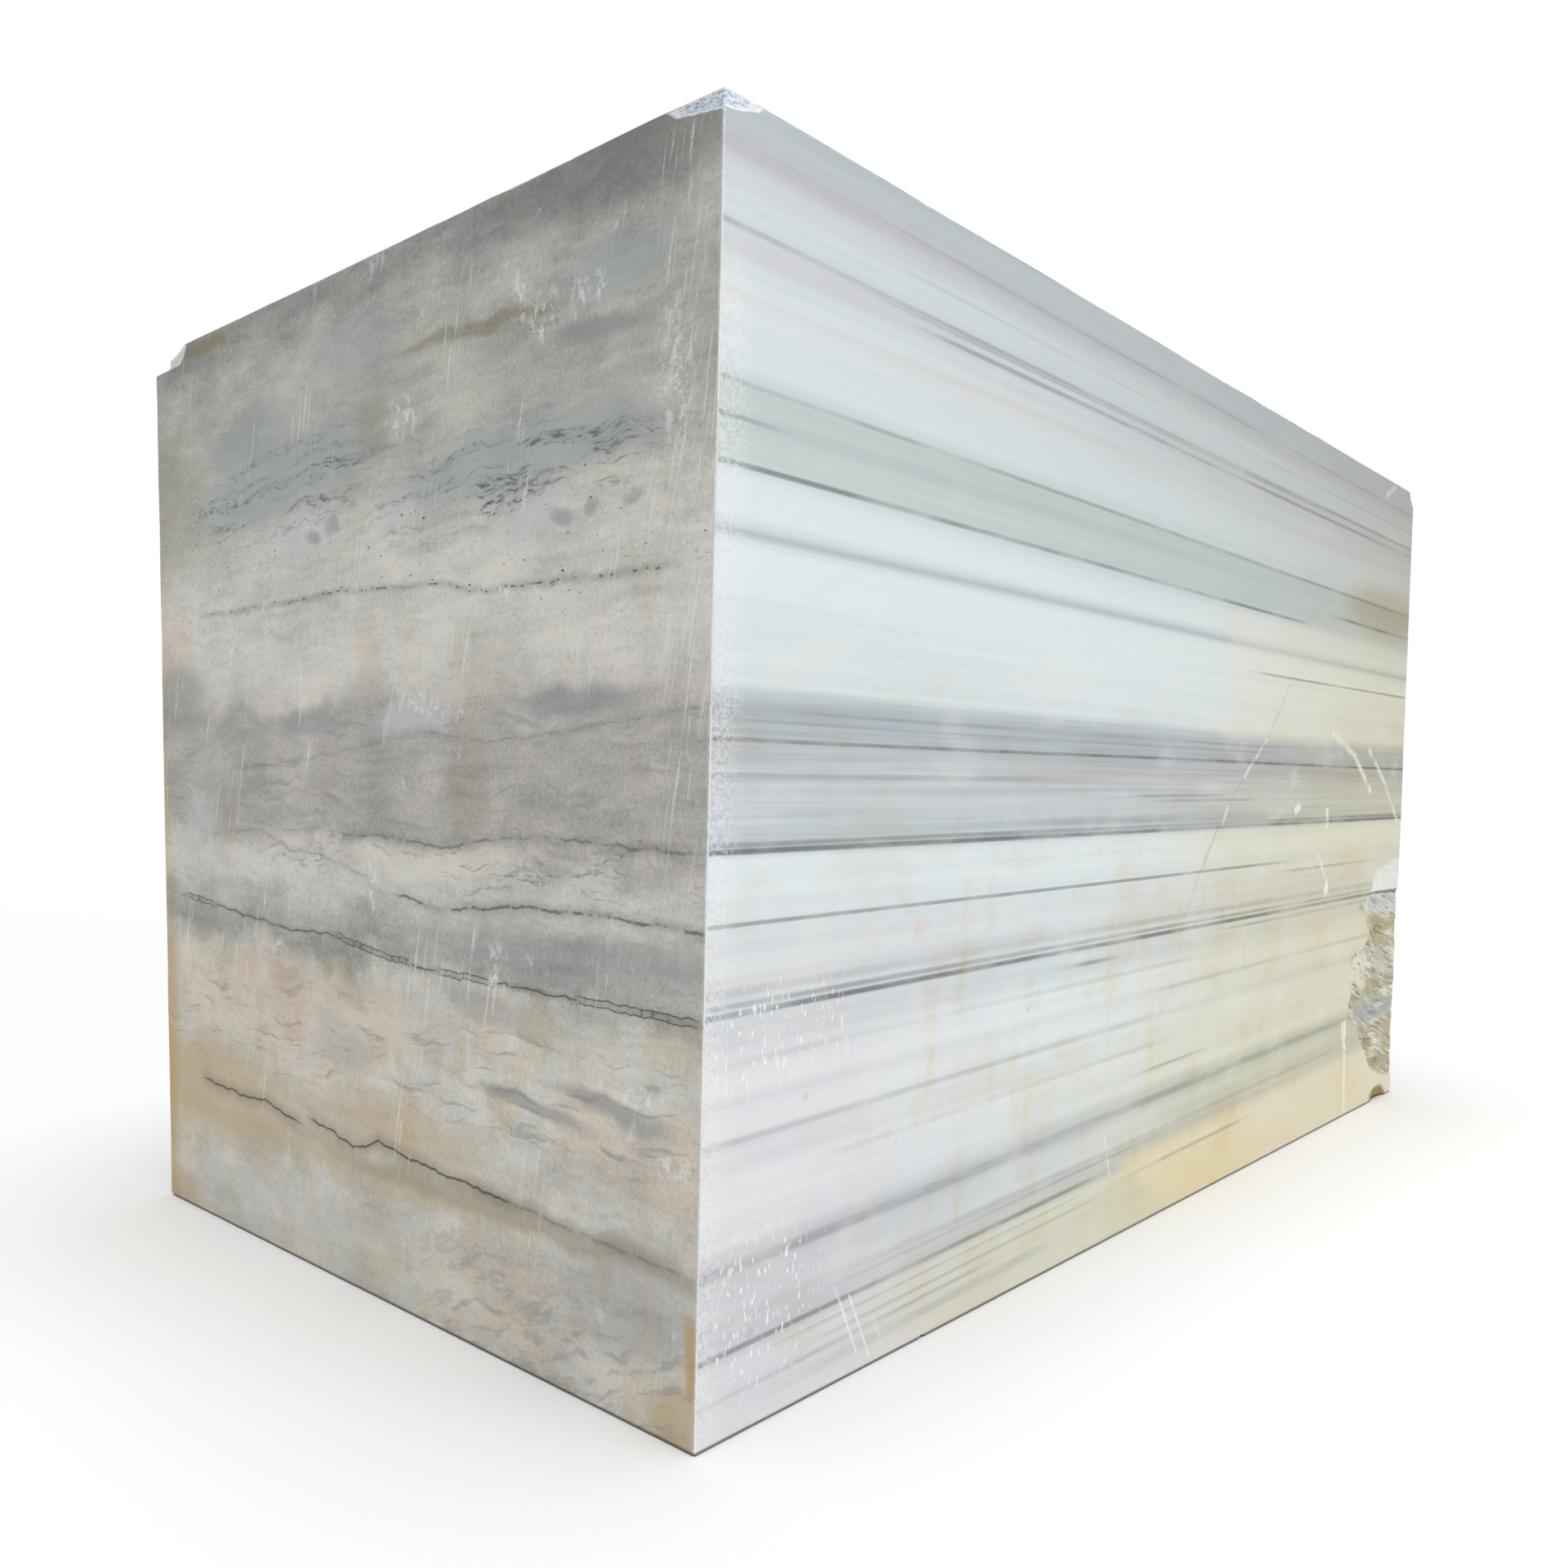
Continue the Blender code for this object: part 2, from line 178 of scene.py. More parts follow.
def roughen_breaks(bm):
    """Push the broken surfaces in by the depth of their crystals, and fray the rims in their planes."""
    sawn = {face: sawn_face_of(face) for face in bm.faces}
    bm.normal_update()
    inner = [vert for vert in bm.verts if all(sawn[face] is None for face in vert.link_faces)]
    bmesh.ops.smooth_vert(
        bm, verts=inner, factor=EVENING, use_axis_x=True, use_axis_y=True, use_axis_z=True)
    bm.normal_update()
    moves = {}
    for vert in bm.verts:
        names = {sawn[face] for face in vert.link_faces}
        behind = sorted(depths(vert.co).values())
        if names == {None}:
            share = min(1.0, max(0.0, behind[0]) / FULL_BREAK)
            moves[vert] = -vert.normal * break_depth(vert.co) * share
        elif None in names and len(names) == 2:
            normal = PLANES[(names - {None}).pop()][0]
            share = min(1.0, behind[1] / FULL_BREAK)
            fray = Vector([noise.noise(vert.co / FRAY_SIZE + Vector((side, 0, 0))) for side in FRAY_SHIFTS])
            moves[vert] = (fray - normal * fray.dot(normal)) * RIM_JITTER * share
    for vert, move in moves.items():
        vert.co += move


def marble_stone():
    """The whole stone, with the broken surfaces worked finer than the solid has them."""
    bm = bmesh.new()
    bm.from_mesh(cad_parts["marble_block"].data)
    mend(bm)
    refine_breaks(bm)
    join_sawn_faces(bm)
    roughen_breaks(bm)
    triangulate(bm)
    mend(bm)
    mesh = bpy.data.meshes.new("sawn_marble")
    for face in bm.faces:
        face.smooth = False
        face.material_index = GRAIN_OF.get(sawn_face_of(face), BROKEN)
    bm.to_mesh(mesh)
    bm.free()
    stone = bpy.data.objects.new("sawn_marble", mesh)
    bpy.context.scene.collection.objects.link(stone)
    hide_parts("marble_block")
    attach(stone, "root")
    return stone


# ---------------------------------------------------------------- writing materials as sums

def tone(red, green, blue):
    """A colour as a maker reads it off a screen, 0 to 255, made linear."""
    screen = [part / 255 for part in (red, green, blue)]
    linear = [part / 12.92 if part < 0.04045 else ((part + 0.055) / 1.055) ** 2.4 for part in screen]
    return (*linear, 1.0)


class Value:
    """One socket of a node tree. Sums on it add Math nodes."""

    def __init__(self, nodes, socket):
        self.nodes = nodes
        self.socket = socket

    def math(self, operation, *others):
        return self.nodes.node("ShaderNodeMath", {"operation": operation}, [self, *others])

    def __add__(self, other):
        return self.math("ADD", other)

    def __mul__(self, other):
        return self.math("MULTIPLY", other)

    def __sub__(self, other):
        return self.math("SUBTRACT", other)

    def __rsub__(self, other):
        return self.nodes.node("ShaderNodeMath", {"operation": "SUBTRACT"}, [other, self])

    __radd__ = __add__
    __rmul__ = __mul__

    def size(self):
        return self.math("ABSOLUTE")

    def most(self, other):
        return self.math("MAXIMUM", other)

    def least(self, other):
        return self.math("MINIMUM", other)

    def rise(self, low, high, peak=1.0):
        """0 below low and the peak above high, eased between them; low may be the larger."""
        settings = {"interpolation_type": "SMOOTHSTEP", "clamp": False}
        return self.nodes.node("ShaderNodeMapRange", settings, [self, low, high, 0.0, peak])

    def near(self, centre, half, soft, peak=1.0):
        """The peak within half of the centre, easing to 0 over soft."""
        return (self - centre).size().rise(half + soft, half, peak)


class Nodes:
    """A node tree, and the ways of adding to it."""

    def __init__(self, tree):
        self.tree = tree

    def node(self, kind, settings, inputs, output=0):
        """Add a node: its settings first, then the value or link of each socket."""
        made = self.tree.nodes.new(kind)
        for name, value in settings.items():
            if name == "stops":
                self.set_stops(made.color_ramp, value)
            elif name == "curve":
                self.set_curve(made.mapping, value)
            else:
                setattr(made, name, value)
        pairs = inputs.items() if isinstance(inputs, dict) else enumerate(inputs)
        for key, value in pairs:
            self.plug(made.inputs[key], value)
        return Value(self, made.outputs[output])

    def plug(self, socket, value):
        if isinstance(value, Value):
            self.tree.links.new(value.socket, socket)
        else:
            socket.default_value = value

    def set_stops(self, ramp, stops):
        ramp.elements[0].position = stops[0][0]
        ramp.elements[1].position = stops[-1][0]
        for place, _ in stops[1:-1]:
            ramp.elements.new(place)
        for element, (_, level) in zip(ramp.elements, stops):
            element.color = (level, level, level, 1.0)

    def set_curve(self, mapping, points):
        curve = mapping.curves[0]
        curve.points[0].location = points[0]
        curve.points[1].location = points[-1]
        for point in points[1:-1]:
            curve.points.new(*point)
        for point in curve.points:
            point.handle_type = "VECTOR"
        mapping.update()

    def vector(self, operation, *inputs):
        return self.node("ShaderNodeVectorMath", {"operation": operation}, list(inputs))

    def noise(self, place, stretch, detail=2.0, rough=0.5, shift=0.0):
        """Noise from about 0.25 to 0.75, with stretch as its waves in a metre along each axis.

        The shift keeps one noise from matching another.
        """
        spot = self.vector("MULTIPLY_ADD", place, stretch, (shift,) * 3)
        return self.node(
            "ShaderNodeTexNoise", {}, {"Vector": spot, "Scale": 1.0, "Detail": detail, "Roughness": rough})

    def blend(self, first, second, share, how="MIX"):
        settings = {"data_type": "RGBA", "blend_type": how}
        return self.node("ShaderNodeMix", settings, {0: share, 6: first, 7: second}, output=2)


class Finish(Nodes):
    """A material."""

    def __init__(self, name):
        self.material = bpy.data.materials.new(name)
        self.material.use_nodes = True
        super().__init__(self.material.node_tree)
        self.shader = self.tree.nodes["Principled BSDF"]


# ---------------------------------------------------------------- the marble

# How the beds dip: along the length by an amount that changes with height, and into the block.
DIP_ALONG = 0.0185
DIP_TURNS = -0.0215
DIP_DEEP = 0.035

# Greyness of the beds, by height: clean white at 0, whiter than its noise below 0, full grey band at 1.
LOWER_BEDS = [
    (0.000, 0.02), (0.055, 0.16), (0.088, 0.20), (0.102, 0.58), (0.122, 0.50), (0.150, 0.46),
    (0.182, 0.48), (0.200, 0.70), (0.214, 0.60), (0.236, 0.14), (0.300, 0.03), (0.340, 0.12),
    (0.353, 0.28), (0.368, 0.05), (0.392, 0.08), (0.401, 0.18), (0.414, 0.00), (0.450, 0.14),
    (0.468, 0.26), (0.486, 0.34), (0.520, 0.30), (0.545, 0.26), (0.560, 0.12), (0.600, 0.22),
    (0.636, 0.08), (0.655, 0.00), (0.684, 0.10), (0.696, 0.62), (0.714, 0.66), (0.745, 0.52),
    (0.775, 0.60), (0.800, 0.70),
]
UPPER_BEDS = [
    (0.800, 0.70), (0.832, 0.90), (0.860, 0.84), (0.876, 0.66), (0.890, 0.14), (0.930, 0.14),
    (0.985, 0.06), (1.004, -0.08), (1.018, -0.12), (1.040, 0.04), (1.054, 0.22), (1.062, 0.84),
    (1.073, 0.24), (1.086, 0.06), (1.118, 0.04), (1.136, 0.30), (1.150, 0.44), (1.168, 0.46),
    (1.190, 0.54), (1.226, 0.54), (1.238, 0.28), (1.262, 0.12), (1.300, 0.00), (1.345, 0.08),
    (1.372, 0.20), (1.404, 0.34), (1.420, 0.14), (1.455, 0.16), (1.474, 0.34), (1.488, 0.52),
    (1.530, 0.60), (1.600, 0.64),
]
BED_SPAN = 0.800

# The same across the grain, on the two ends, where the beds lie closer to level.
END_BEDS = [
    (0.000, 0.26), (0.110, 0.26), (0.180, 0.28), (0.300, 0.20), (0.420, 0.18), (0.470, 0.32),
    (0.505, 0.78), (0.560, 0.56), (0.600, 0.28), (0.650, 0.28), (0.690, 0.58), (0.790, 0.58),
    (0.872, 0.54), (0.892, 0.28), (0.920, 0.18), (1.000, 0.16), (1.080, 0.20), (1.140, 0.28),
    (1.200, 0.44), (1.300, 0.54), (1.430, 0.54), (1.475, 0.66), (1.500, 0.82), (1.550, 0.84),
]
END_SPAN = 1.600

# Thin dark seams: height, half thickness and darkness, and where along the length they start and end.
SEAMS = [
    (1.497, 0.0012, 0.22, None, None), (1.448, 0.0010, 0.14, 0.30, None), (1.405, 0.0014, 0.34, None, None),
    (1.399, 0.0010, 0.26, 0.20, 1.90), (1.385, 0.0016, 0.40, 0.36, None), (1.231, 0.0013, 0.38, None, None),
    (1.191, 0.0012, 0.50, None, 0.09), (1.172, 0.0014, 0.62, 1.95, None), (1.139, 0.0014, 0.62, None, 1.78),
    (1.011, 0.0012, 0.50, 1.50, None), (0.858, 0.0012, 0.20, 0.10, 1.70), (0.845, 0.0010, 0.18, None, 1.60),
    (0.823, 0.0012, 0.66, None, None), (0.783, 0.0016, 0.26, None, 0.90), (0.757, 0.0012, 0.40, 1.00, 1.40),
    (0.717, 0.0035, 0.24, 0.70, 1.60), (0.748, 0.0012, 0.32, 1.08, 1.57), (0.703, 0.0014, 0.50, None, None),
    (0.695, 0.0016, 0.76, None, None), (0.609, 0.0012, 0.58, None, 1.75), (0.588, 0.0014, 0.40, 1.70, 2.30),
    (0.529, 0.0022, 0.20, None, None), (0.514, 0.0014, 0.45, None, None), (0.504, 0.0016, 0.76, None, None),
    (0.489, 0.0013, 0.36, 1.40, 2.28), (0.478, 0.0015, 0.60, 0.78, 0.98), (0.400, 0.0020, 0.18, 1.10, 2.40),
    (0.353, 0.0018, 0.20, None, 1.10), (0.256, 0.0012, 0.38, 1.06, 1.36), (0.203, 0.0030, 0.34, None, 2.15),
    (0.078, 0.0016, 0.34, 1.00, 1.60), (0.208, 0.0013, 0.30, 1.20, 1.45), (0.139, 0.0020, 0.20, 0.30, 2.10),
    (0.300, 0.0020, 0.16, 0.20, 1.20), (0.446, 0.0018, 0.16, 0.05, 1.30), (0.104, 0.0016, 0.52, None, 0.95),
    (0.128, 0.0014, 0.24, 0.25, 1.20), (0.085, 0.0012, 0.20, 0.10, 0.90), (0.066, 0.0012, 0.22, 0.20, 0.95),
    (0.050, 0.0014, 0.34, None, 0.62), (0.030, 0.0030, 0.22, 0.12, 0.80),
]

# The stone's own colours, and the stains on it.
ICE = tone(226, 235, 237)
WARM_WHITE = tone(236, 234, 226)
BAND_GREY = tone(169, 177, 184)
FAR_GREY = tone(160, 164, 161)
END_GREY = tone(149, 152, 149)
SEAM_DARK = tone(64, 72, 80)
DASH_BLUE = tone(92, 102, 116)
DASH_DARK = tone(84, 84, 82)
CLOUD_BLUE = tone(178, 187, 189)
CREAM_TINT = tone(252, 238, 209)
YELLOW_STONE = tone(238, 226, 194)
YELLOW_TINT = tone(255, 250, 236)
LILAC_TINT = tone(255, 247, 248)
GREEN_TINT = tone(249, 253, 248)
PINK_TINT = tone(253, 243, 235)
TAN_TINT = tone(248, 235, 210)
TAN_STONE = tone(203, 184, 142)
BROWN_TINT = tone(236, 220, 196)
OCHRE = tone(206, 164, 104)
OCHRE_DARK = tone(158, 133, 66)
SCUFF_AND_HIGHLIGHT_WHITE = tone(250, 250, 250)
SCRATCH_CREAM = tone(244, 240, 226)
DRIP_TINT = tone(252, 240, 216)
SUGAR_WHITE = tone(240, 240, 236)
CRYSTAL_BLUE = tone(216, 228, 241)
CRYSTAL_DARK = tone(112, 126, 148)
ROCK_BROWN = tone(180, 169, 136)
ROCK_DARK = tone(138, 127, 98)
ROCK_BLUE = tone(168, 175, 180)
ROCK_CREAM = tone(226, 220, 200)
ROCK_GREEN = tone(186, 188, 172)
ROCK_LILAC = tone(206, 212, 213)
PAINTED_FOOT_SHADOW = tone(70, 66, 62)
CRACK_BROWN = tone(92, 80, 66)
PALE_LOBE = tone(216, 222, 224)
PALE_CREAM = tone(238, 236, 220)
OLIVE = tone(150, 138, 112)
CORNER_DARK = tone(126, 122, 120)
SLATE = tone(138, 142, 148)
EDGE_BEIGE = tone(232, 223, 206)

# Soft patches on the ends: centre and half size across and high, slope, colour and strength.
END_PATCHES = [
    (0.12, 0.140, 0.13, 0.060, 0.05, SLATE, 0.35),
    (0.10, 1.195, 0.10, 0.030, 0.00, SLATE, 0.35),
    (0.97, 1.255, 0.26, 0.058, 0.05, CLOUD_BLUE, 0.75),
    (0.36, 1.195, 0.25, 0.045, 0.05, CLOUD_BLUE, 0.70),
    (0.76, 1.42, 0.14, 0.055, 0.05, CLOUD_BLUE, 0.35),
    (0.90, 1.155, 0.10, 0.028, 0.05, PALE_LOBE, 0.60),
    (0.63, 1.16, 0.05, 0.022, 0.00, PALE_LOBE, 0.50),
    (0.30, 1.115, 0.06, 0.024, 0.05, PALE_LOBE, 0.50),
    (0.86, 1.150, 0.025, 0.012, 0.00, SLATE, 0.50),
    (0.80, 1.165, 0.020, 0.012, 0.00, SLATE, 0.45),
    (0.25, 1.105, 0.022, 0.010, 0.00, SLATE, 0.45),
    (0.19, 1.115, 0.018, 0.012, 0.00, SLATE, 0.45),
    (0.10, 1.115, 0.018, 0.010, 0.00, SLATE, 0.40),
    (0.17, 1.335, 0.09, 0.016, -0.10, SLATE, 0.55),
    (0.44, 1.385, 0.18, 0.009, 0.00, OLIVE, 0.60),
    (0.68, 1.29, 0.045, 0.050, 0.00, OLIVE, 0.25),
    (0.28, 1.50, 0.26, 0.035, 0.00, SLATE, 0.15),
    (1.24, 1.53, 0.10, 0.014, 0.00, OLIVE, 0.70),
    (0.03, 1.53, 0.34, 0.055, 0.00, CORNER_DARK, 0.45),
    (0.13, 1.405, 0.10, 0.035, 0.00, CLOUD_BLUE, 0.55),
    (1.08, 1.340, 0.14, 0.045, 0.05, CLOUD_BLUE, 0.45),
    (0.66, 0.400, 0.10, 0.030, 0.00, PALE_CREAM, 0.35),
    (1.40, 0.260, 0.06, 0.200, 0.00, TAN_STONE, 0.50),
    (1.37, 1.27, 0.12, 0.130, 0.00, OLIVE, 0.30),
    (1.35, 1.00, 0.06, 0.060, 0.00, PINK_TINT, 1.00),
    (1.36, 0.91, 0.12, 0.060, 0.05, END_GREY, 0.60),
    (0.70, 0.960, 0.026, 0.055, 0.00, PINK_TINT, 0.90),
    (0.22, 0.875, 0.10, 0.018, 0.00, SLATE, 0.45),
    (0.88, 0.862, 0.10, 0.022, 0.00, SLATE, 0.40),
    (0.58, 0.865, 0.09, 0.022, 0.00, PALE_LOBE, 0.60),
    (1.24, 0.700, 0.07, 0.050, 0.00, PALE_LOBE, 0.35),
    (0.55, 0.655, 0.19, 0.024, 0.00, PALE_CREAM, 0.55),
    (0.44, 0.76, 0.05, 0.080, 0.00, OLIVE, 0.30),
    (1.16, 0.70, 0.04, 0.060, 0.00, OLIVE, 0.30),
    (0.20, 0.555, 0.30, 0.030, 0.00, SLATE, 0.35),
    (0.40, 0.465, 0.10, 0.024, -0.10, SLATE, 0.35),
    (1.02, 0.41, 0.44, 0.075, 0.00, PINK_TINT, 0.90),
    (0.78, 0.36, 0.08, 0.040, 0.00, CLOUD_BLUE, 0.35),
    (0.31, 0.345, 0.10, 0.012, -0.10, SLATE, 0.60),
    (0.15, 0.375, 0.10, 0.014, -0.10, SLATE, 0.55),
    (1.20, 0.230, 0.27, 0.085, 0.00, TAN_STONE, 0.70),
    (0.62, 0.262, 0.19, 0.040, 0.00, TAN_STONE, 0.55),
    (0.80, 0.185, 0.50, 0.024, 0.00, TAN_STONE, 0.45),
    (0.30, 0.200, 0.50, 0.018, 0.00, OLIVE, 0.45),
    (0.95, 0.08, 0.30, 0.040, 0.05, PALE_LOBE, 0.25),
    (0.66, 0.055, 0.26, 0.040, 0.05, PALE_CREAM, 0.20),
    (1.34, 0.020, 0.09, 0.035, 0.00, TAN_STONE, 0.60),
    (0.04, 0.030, 0.04, 0.045, 0.00, TAN_STONE, 0.70),
    (0.010, 0.105, 0.012, 0.050, 0.00, OCHRE, 0.75),
]

# Bruises of white specks on the ends: centre and half size across and high.
END_BRUISES = [
    (0.285, 1.375, 0.030, 0.040), (0.335, 1.405, 0.018, 0.030), (0.185, 1.385, 0.035, 0.030),
    (0.375, 0.520, 0.022, 0.035), (0.600, 1.300, 0.035, 0.030), (0.450, 0.868, 0.020, 0.010),
    (0.560, 0.885, 0.070, 0.014), (0.360, 1.020, 0.020, 0.014), (1.020, 1.050, 0.020, 0.020),
    (0.970, 0.500, 0.025, 0.018), (0.040, 0.330, 0.030, 0.014), (0.110, 0.400, 0.060, 0.012),
    (0.690, 0.620, 0.020, 0.045), (0.030, 1.250, 0.030, 0.080), (1.140, 1.000, 0.020, 0.070),
]

# Dark lines across the ends: half thickness, darkness, make, and places across and high along each.
END_LINES = [
    (0.0012, 0.85, "dotted", [
        (1.25, 1.058), (1.00, 1.056), (0.80, 1.060), (0.51, 1.048), (0.43, 1.030), (0.04, 1.025)]),
    (0.0011, 0.90, "railed", [
        (1.33, 0.560), (1.115, 0.542), (0.94, 0.528), (0.79, 0.532), (0.72, 0.520), (0.56, 0.505),
        (0.30, 0.502), (-0.02, 0.498)]),
    (0.0018, 0.60, "frayed", [
        (0.81, 0.685), (0.66, 0.690), (0.50, 0.678), (0.40, 0.694), (0.28, 0.702), (-0.02, 0.692)]),
    (0.0018, 0.80, "frayed", [
        (0.62, 0.606), (0.52, 0.594), (0.44, 0.598), (0.30, 0.609), (0.16, 0.608), (-0.02, 0.604)]),
    (0.0014, 0.35, "frayed", [
        (1.20, 0.672), (1.05, 0.688), (0.92, 0.655), (0.84, 0.655), (0.70, 0.625)]),
    (0.0014, 0.32, "frayed", [
        (1.05, 0.790), (0.80, 0.812), (0.55, 0.842), (0.40, 0.825), (0.25, 0.835), (-0.02, 0.862)]),
    (0.0017, 0.95, "solid", [(1.245, 0.238), (1.11, 0.231), (1.01, 0.235), (0.91, 0.218)]),
    (0.0017, 0.95, "solid", [
        (0.87, 0.232), (0.80, 0.226), (0.74, 0.212), (0.71, 0.218), (0.67, 0.235), (0.60, 0.226),
        (0.46, 0.219), (0.36, 0.216)]),
    (0.0022, 0.45, "frayed", [(0.45, 0.219), (0.30, 0.214), (0.16, 0.208), (-0.02, 0.202)]),
]
RAIL_GAP = 0.0042
END_TINTS = (PINK_TINT, TAN_TINT)

# The clouds and the flecks at the foot of an end climb into the block by this much.
CLOUD_RISE = 0.05
FLECK_RISE = 0.30

# Where each starts to show and where it is full, in metres behind a sawn face: what lies on the long face
# alone, the white of the rims (bruising with a painted highlight), the darkening along the top and far-end
# rims, and the painted contact shadow along the foot.
ON_FACE = (0.0030, 0.0008)
RIM_BRUISE_AND_HIGHLIGHT = (0.0020, 0.0007)
RIM_DARKENING = (0.0060, 0.0030)
FOOT_SHADOW_BAND = (0.0060, 0.0020)

# A half size along the length that takes in the whole block.
THROUGH = 2.6

# The stretch across an end that its lines are drawn on.
LINES_FROM = -0.1
LINES_SPAN = 1.6

# Colours inside the broken patch: middle and half size along and high, colour and strength.
PATCH_ZONES = [
    (2.40, 0.497, 0.15, 0.028, ROCK_LILAC, 0.80),
    (2.27, 0.470, 0.05, 0.014, ROCK_CREAM, 0.70),
    (2.36, 0.437, 0.15, 0.024, ROCK_BROWN, 0.80),
    (2.245, 0.330, 0.085, 0.055, ROCK_CREAM, 0.95),
    (2.38, 0.350, 0.09, 0.040, ROCK_GREEN, 0.60),
    (2.20, 0.262, 0.08, 0.022, ROCK_BROWN, 0.80),
    (2.17, 0.255, 0.03, 0.012, ROCK_DARK, 0.60),
    (2.36, 0.225, 0.12, 0.024, ROCK_BLUE, 0.80),
    (2.31, 0.165, 0.09, 0.040, ROCK_BROWN, 0.60),
    (2.44, 0.160, 0.05, 0.040, ROCK_BROWN, 0.55),
    (2.33, 0.110, 0.06, 0.030, ROCK_CREAM, 0.50),
    (2.39, 0.075, 0.07, 0.030, ROCK_BROWN, 0.75),
]

# Cracks and scratches on the long face: ends along and high, half thickness, colour and strength.
FRONT_MARKS = [
    ((1.715, 1.010), (1.650, 0.935), 0.0024, OCHRE, 0.40),
    ((1.650, 0.935), (1.590, 0.875), 0.0022, OCHRE, 0.40),
    ((1.590, 0.875), (1.480, 0.795), 0.0024, SCUFF_AND_HIGHLIGHT_WHITE, 0.50),
    ((1.480, 0.795), (1.410, 0.740), 0.0018, OLIVE, 0.25),
    ((1.410, 0.740), (1.385, 0.700), 0.0024, SCUFF_AND_HIGHLIGHT_WHITE, 0.50),
    ((1.370, 0.700), (1.290, 0.610), 0.0026, OLIVE, 0.30),
    ((1.290, 0.610), (1.220, 0.510), 0.0022, OLIVE, 0.20),
    ((1.960, 0.900), (2.120, 0.850), 0.0040, SCRATCH_CREAM, 0.60),
    ((2.110, 0.855), (2.240, 0.765), 0.0042, SCRATCH_CREAM, 0.75),
    ((2.210, 0.870), (2.330, 0.795), 0.0042, SCRATCH_CREAM, 0.65),
    ((2.330, 0.795), (2.450, 0.690), 0.0036, SCRATCH_CREAM, 0.65),
    ((2.106, 0.228), (2.112, 0.190), 0.0030, SCRATCH_CREAM, 0.80),
    ((2.112, 0.190), (2.122, 0.165), 0.0026, SCRATCH_CREAM, 0.70),
    ((1.898, 0.628), (1.970, 0.560), 0.0030, SCRATCH_CREAM, 0.80),
    ((1.972, 0.556), (1.950, 0.540), 0.0070, SCUFF_AND_HIGHLIGHT_WHITE, 0.80),
    ((1.948, 0.732), (1.956, 0.685), 0.0050, SCRATCH_CREAM, 0.70),
    ((1.755, 0.724), (1.785, 0.738), 0.0050, SCUFF_AND_HIGHLIGHT_WHITE, 0.70),
    ((2.124, 0.230), (2.141, 0.008), 0.0036, SCRATCH_CREAM, 0.95),
    ((0.958, 0.180), (0.983, 0.110), 0.0016, SCUFF_AND_HIGHLIGHT_WHITE, 0.60),
    ((0.245, 0.130), (0.300, 0.020), 0.0012, SCUFF_AND_HIGHLIGHT_WHITE, 0.60),
    ((0.275, 0.110), (0.325, 0.012), 0.0010, SCUFF_AND_HIGHLIGHT_WHITE, 0.60),
    ((0.329, 0.065), (0.352, 0.020), 0.0010, SCUFF_AND_HIGHLIGHT_WHITE, 0.70),
    ((2.250, 1.475), (2.335, 1.520), 0.0040, SCRATCH_CREAM, 0.35),
]


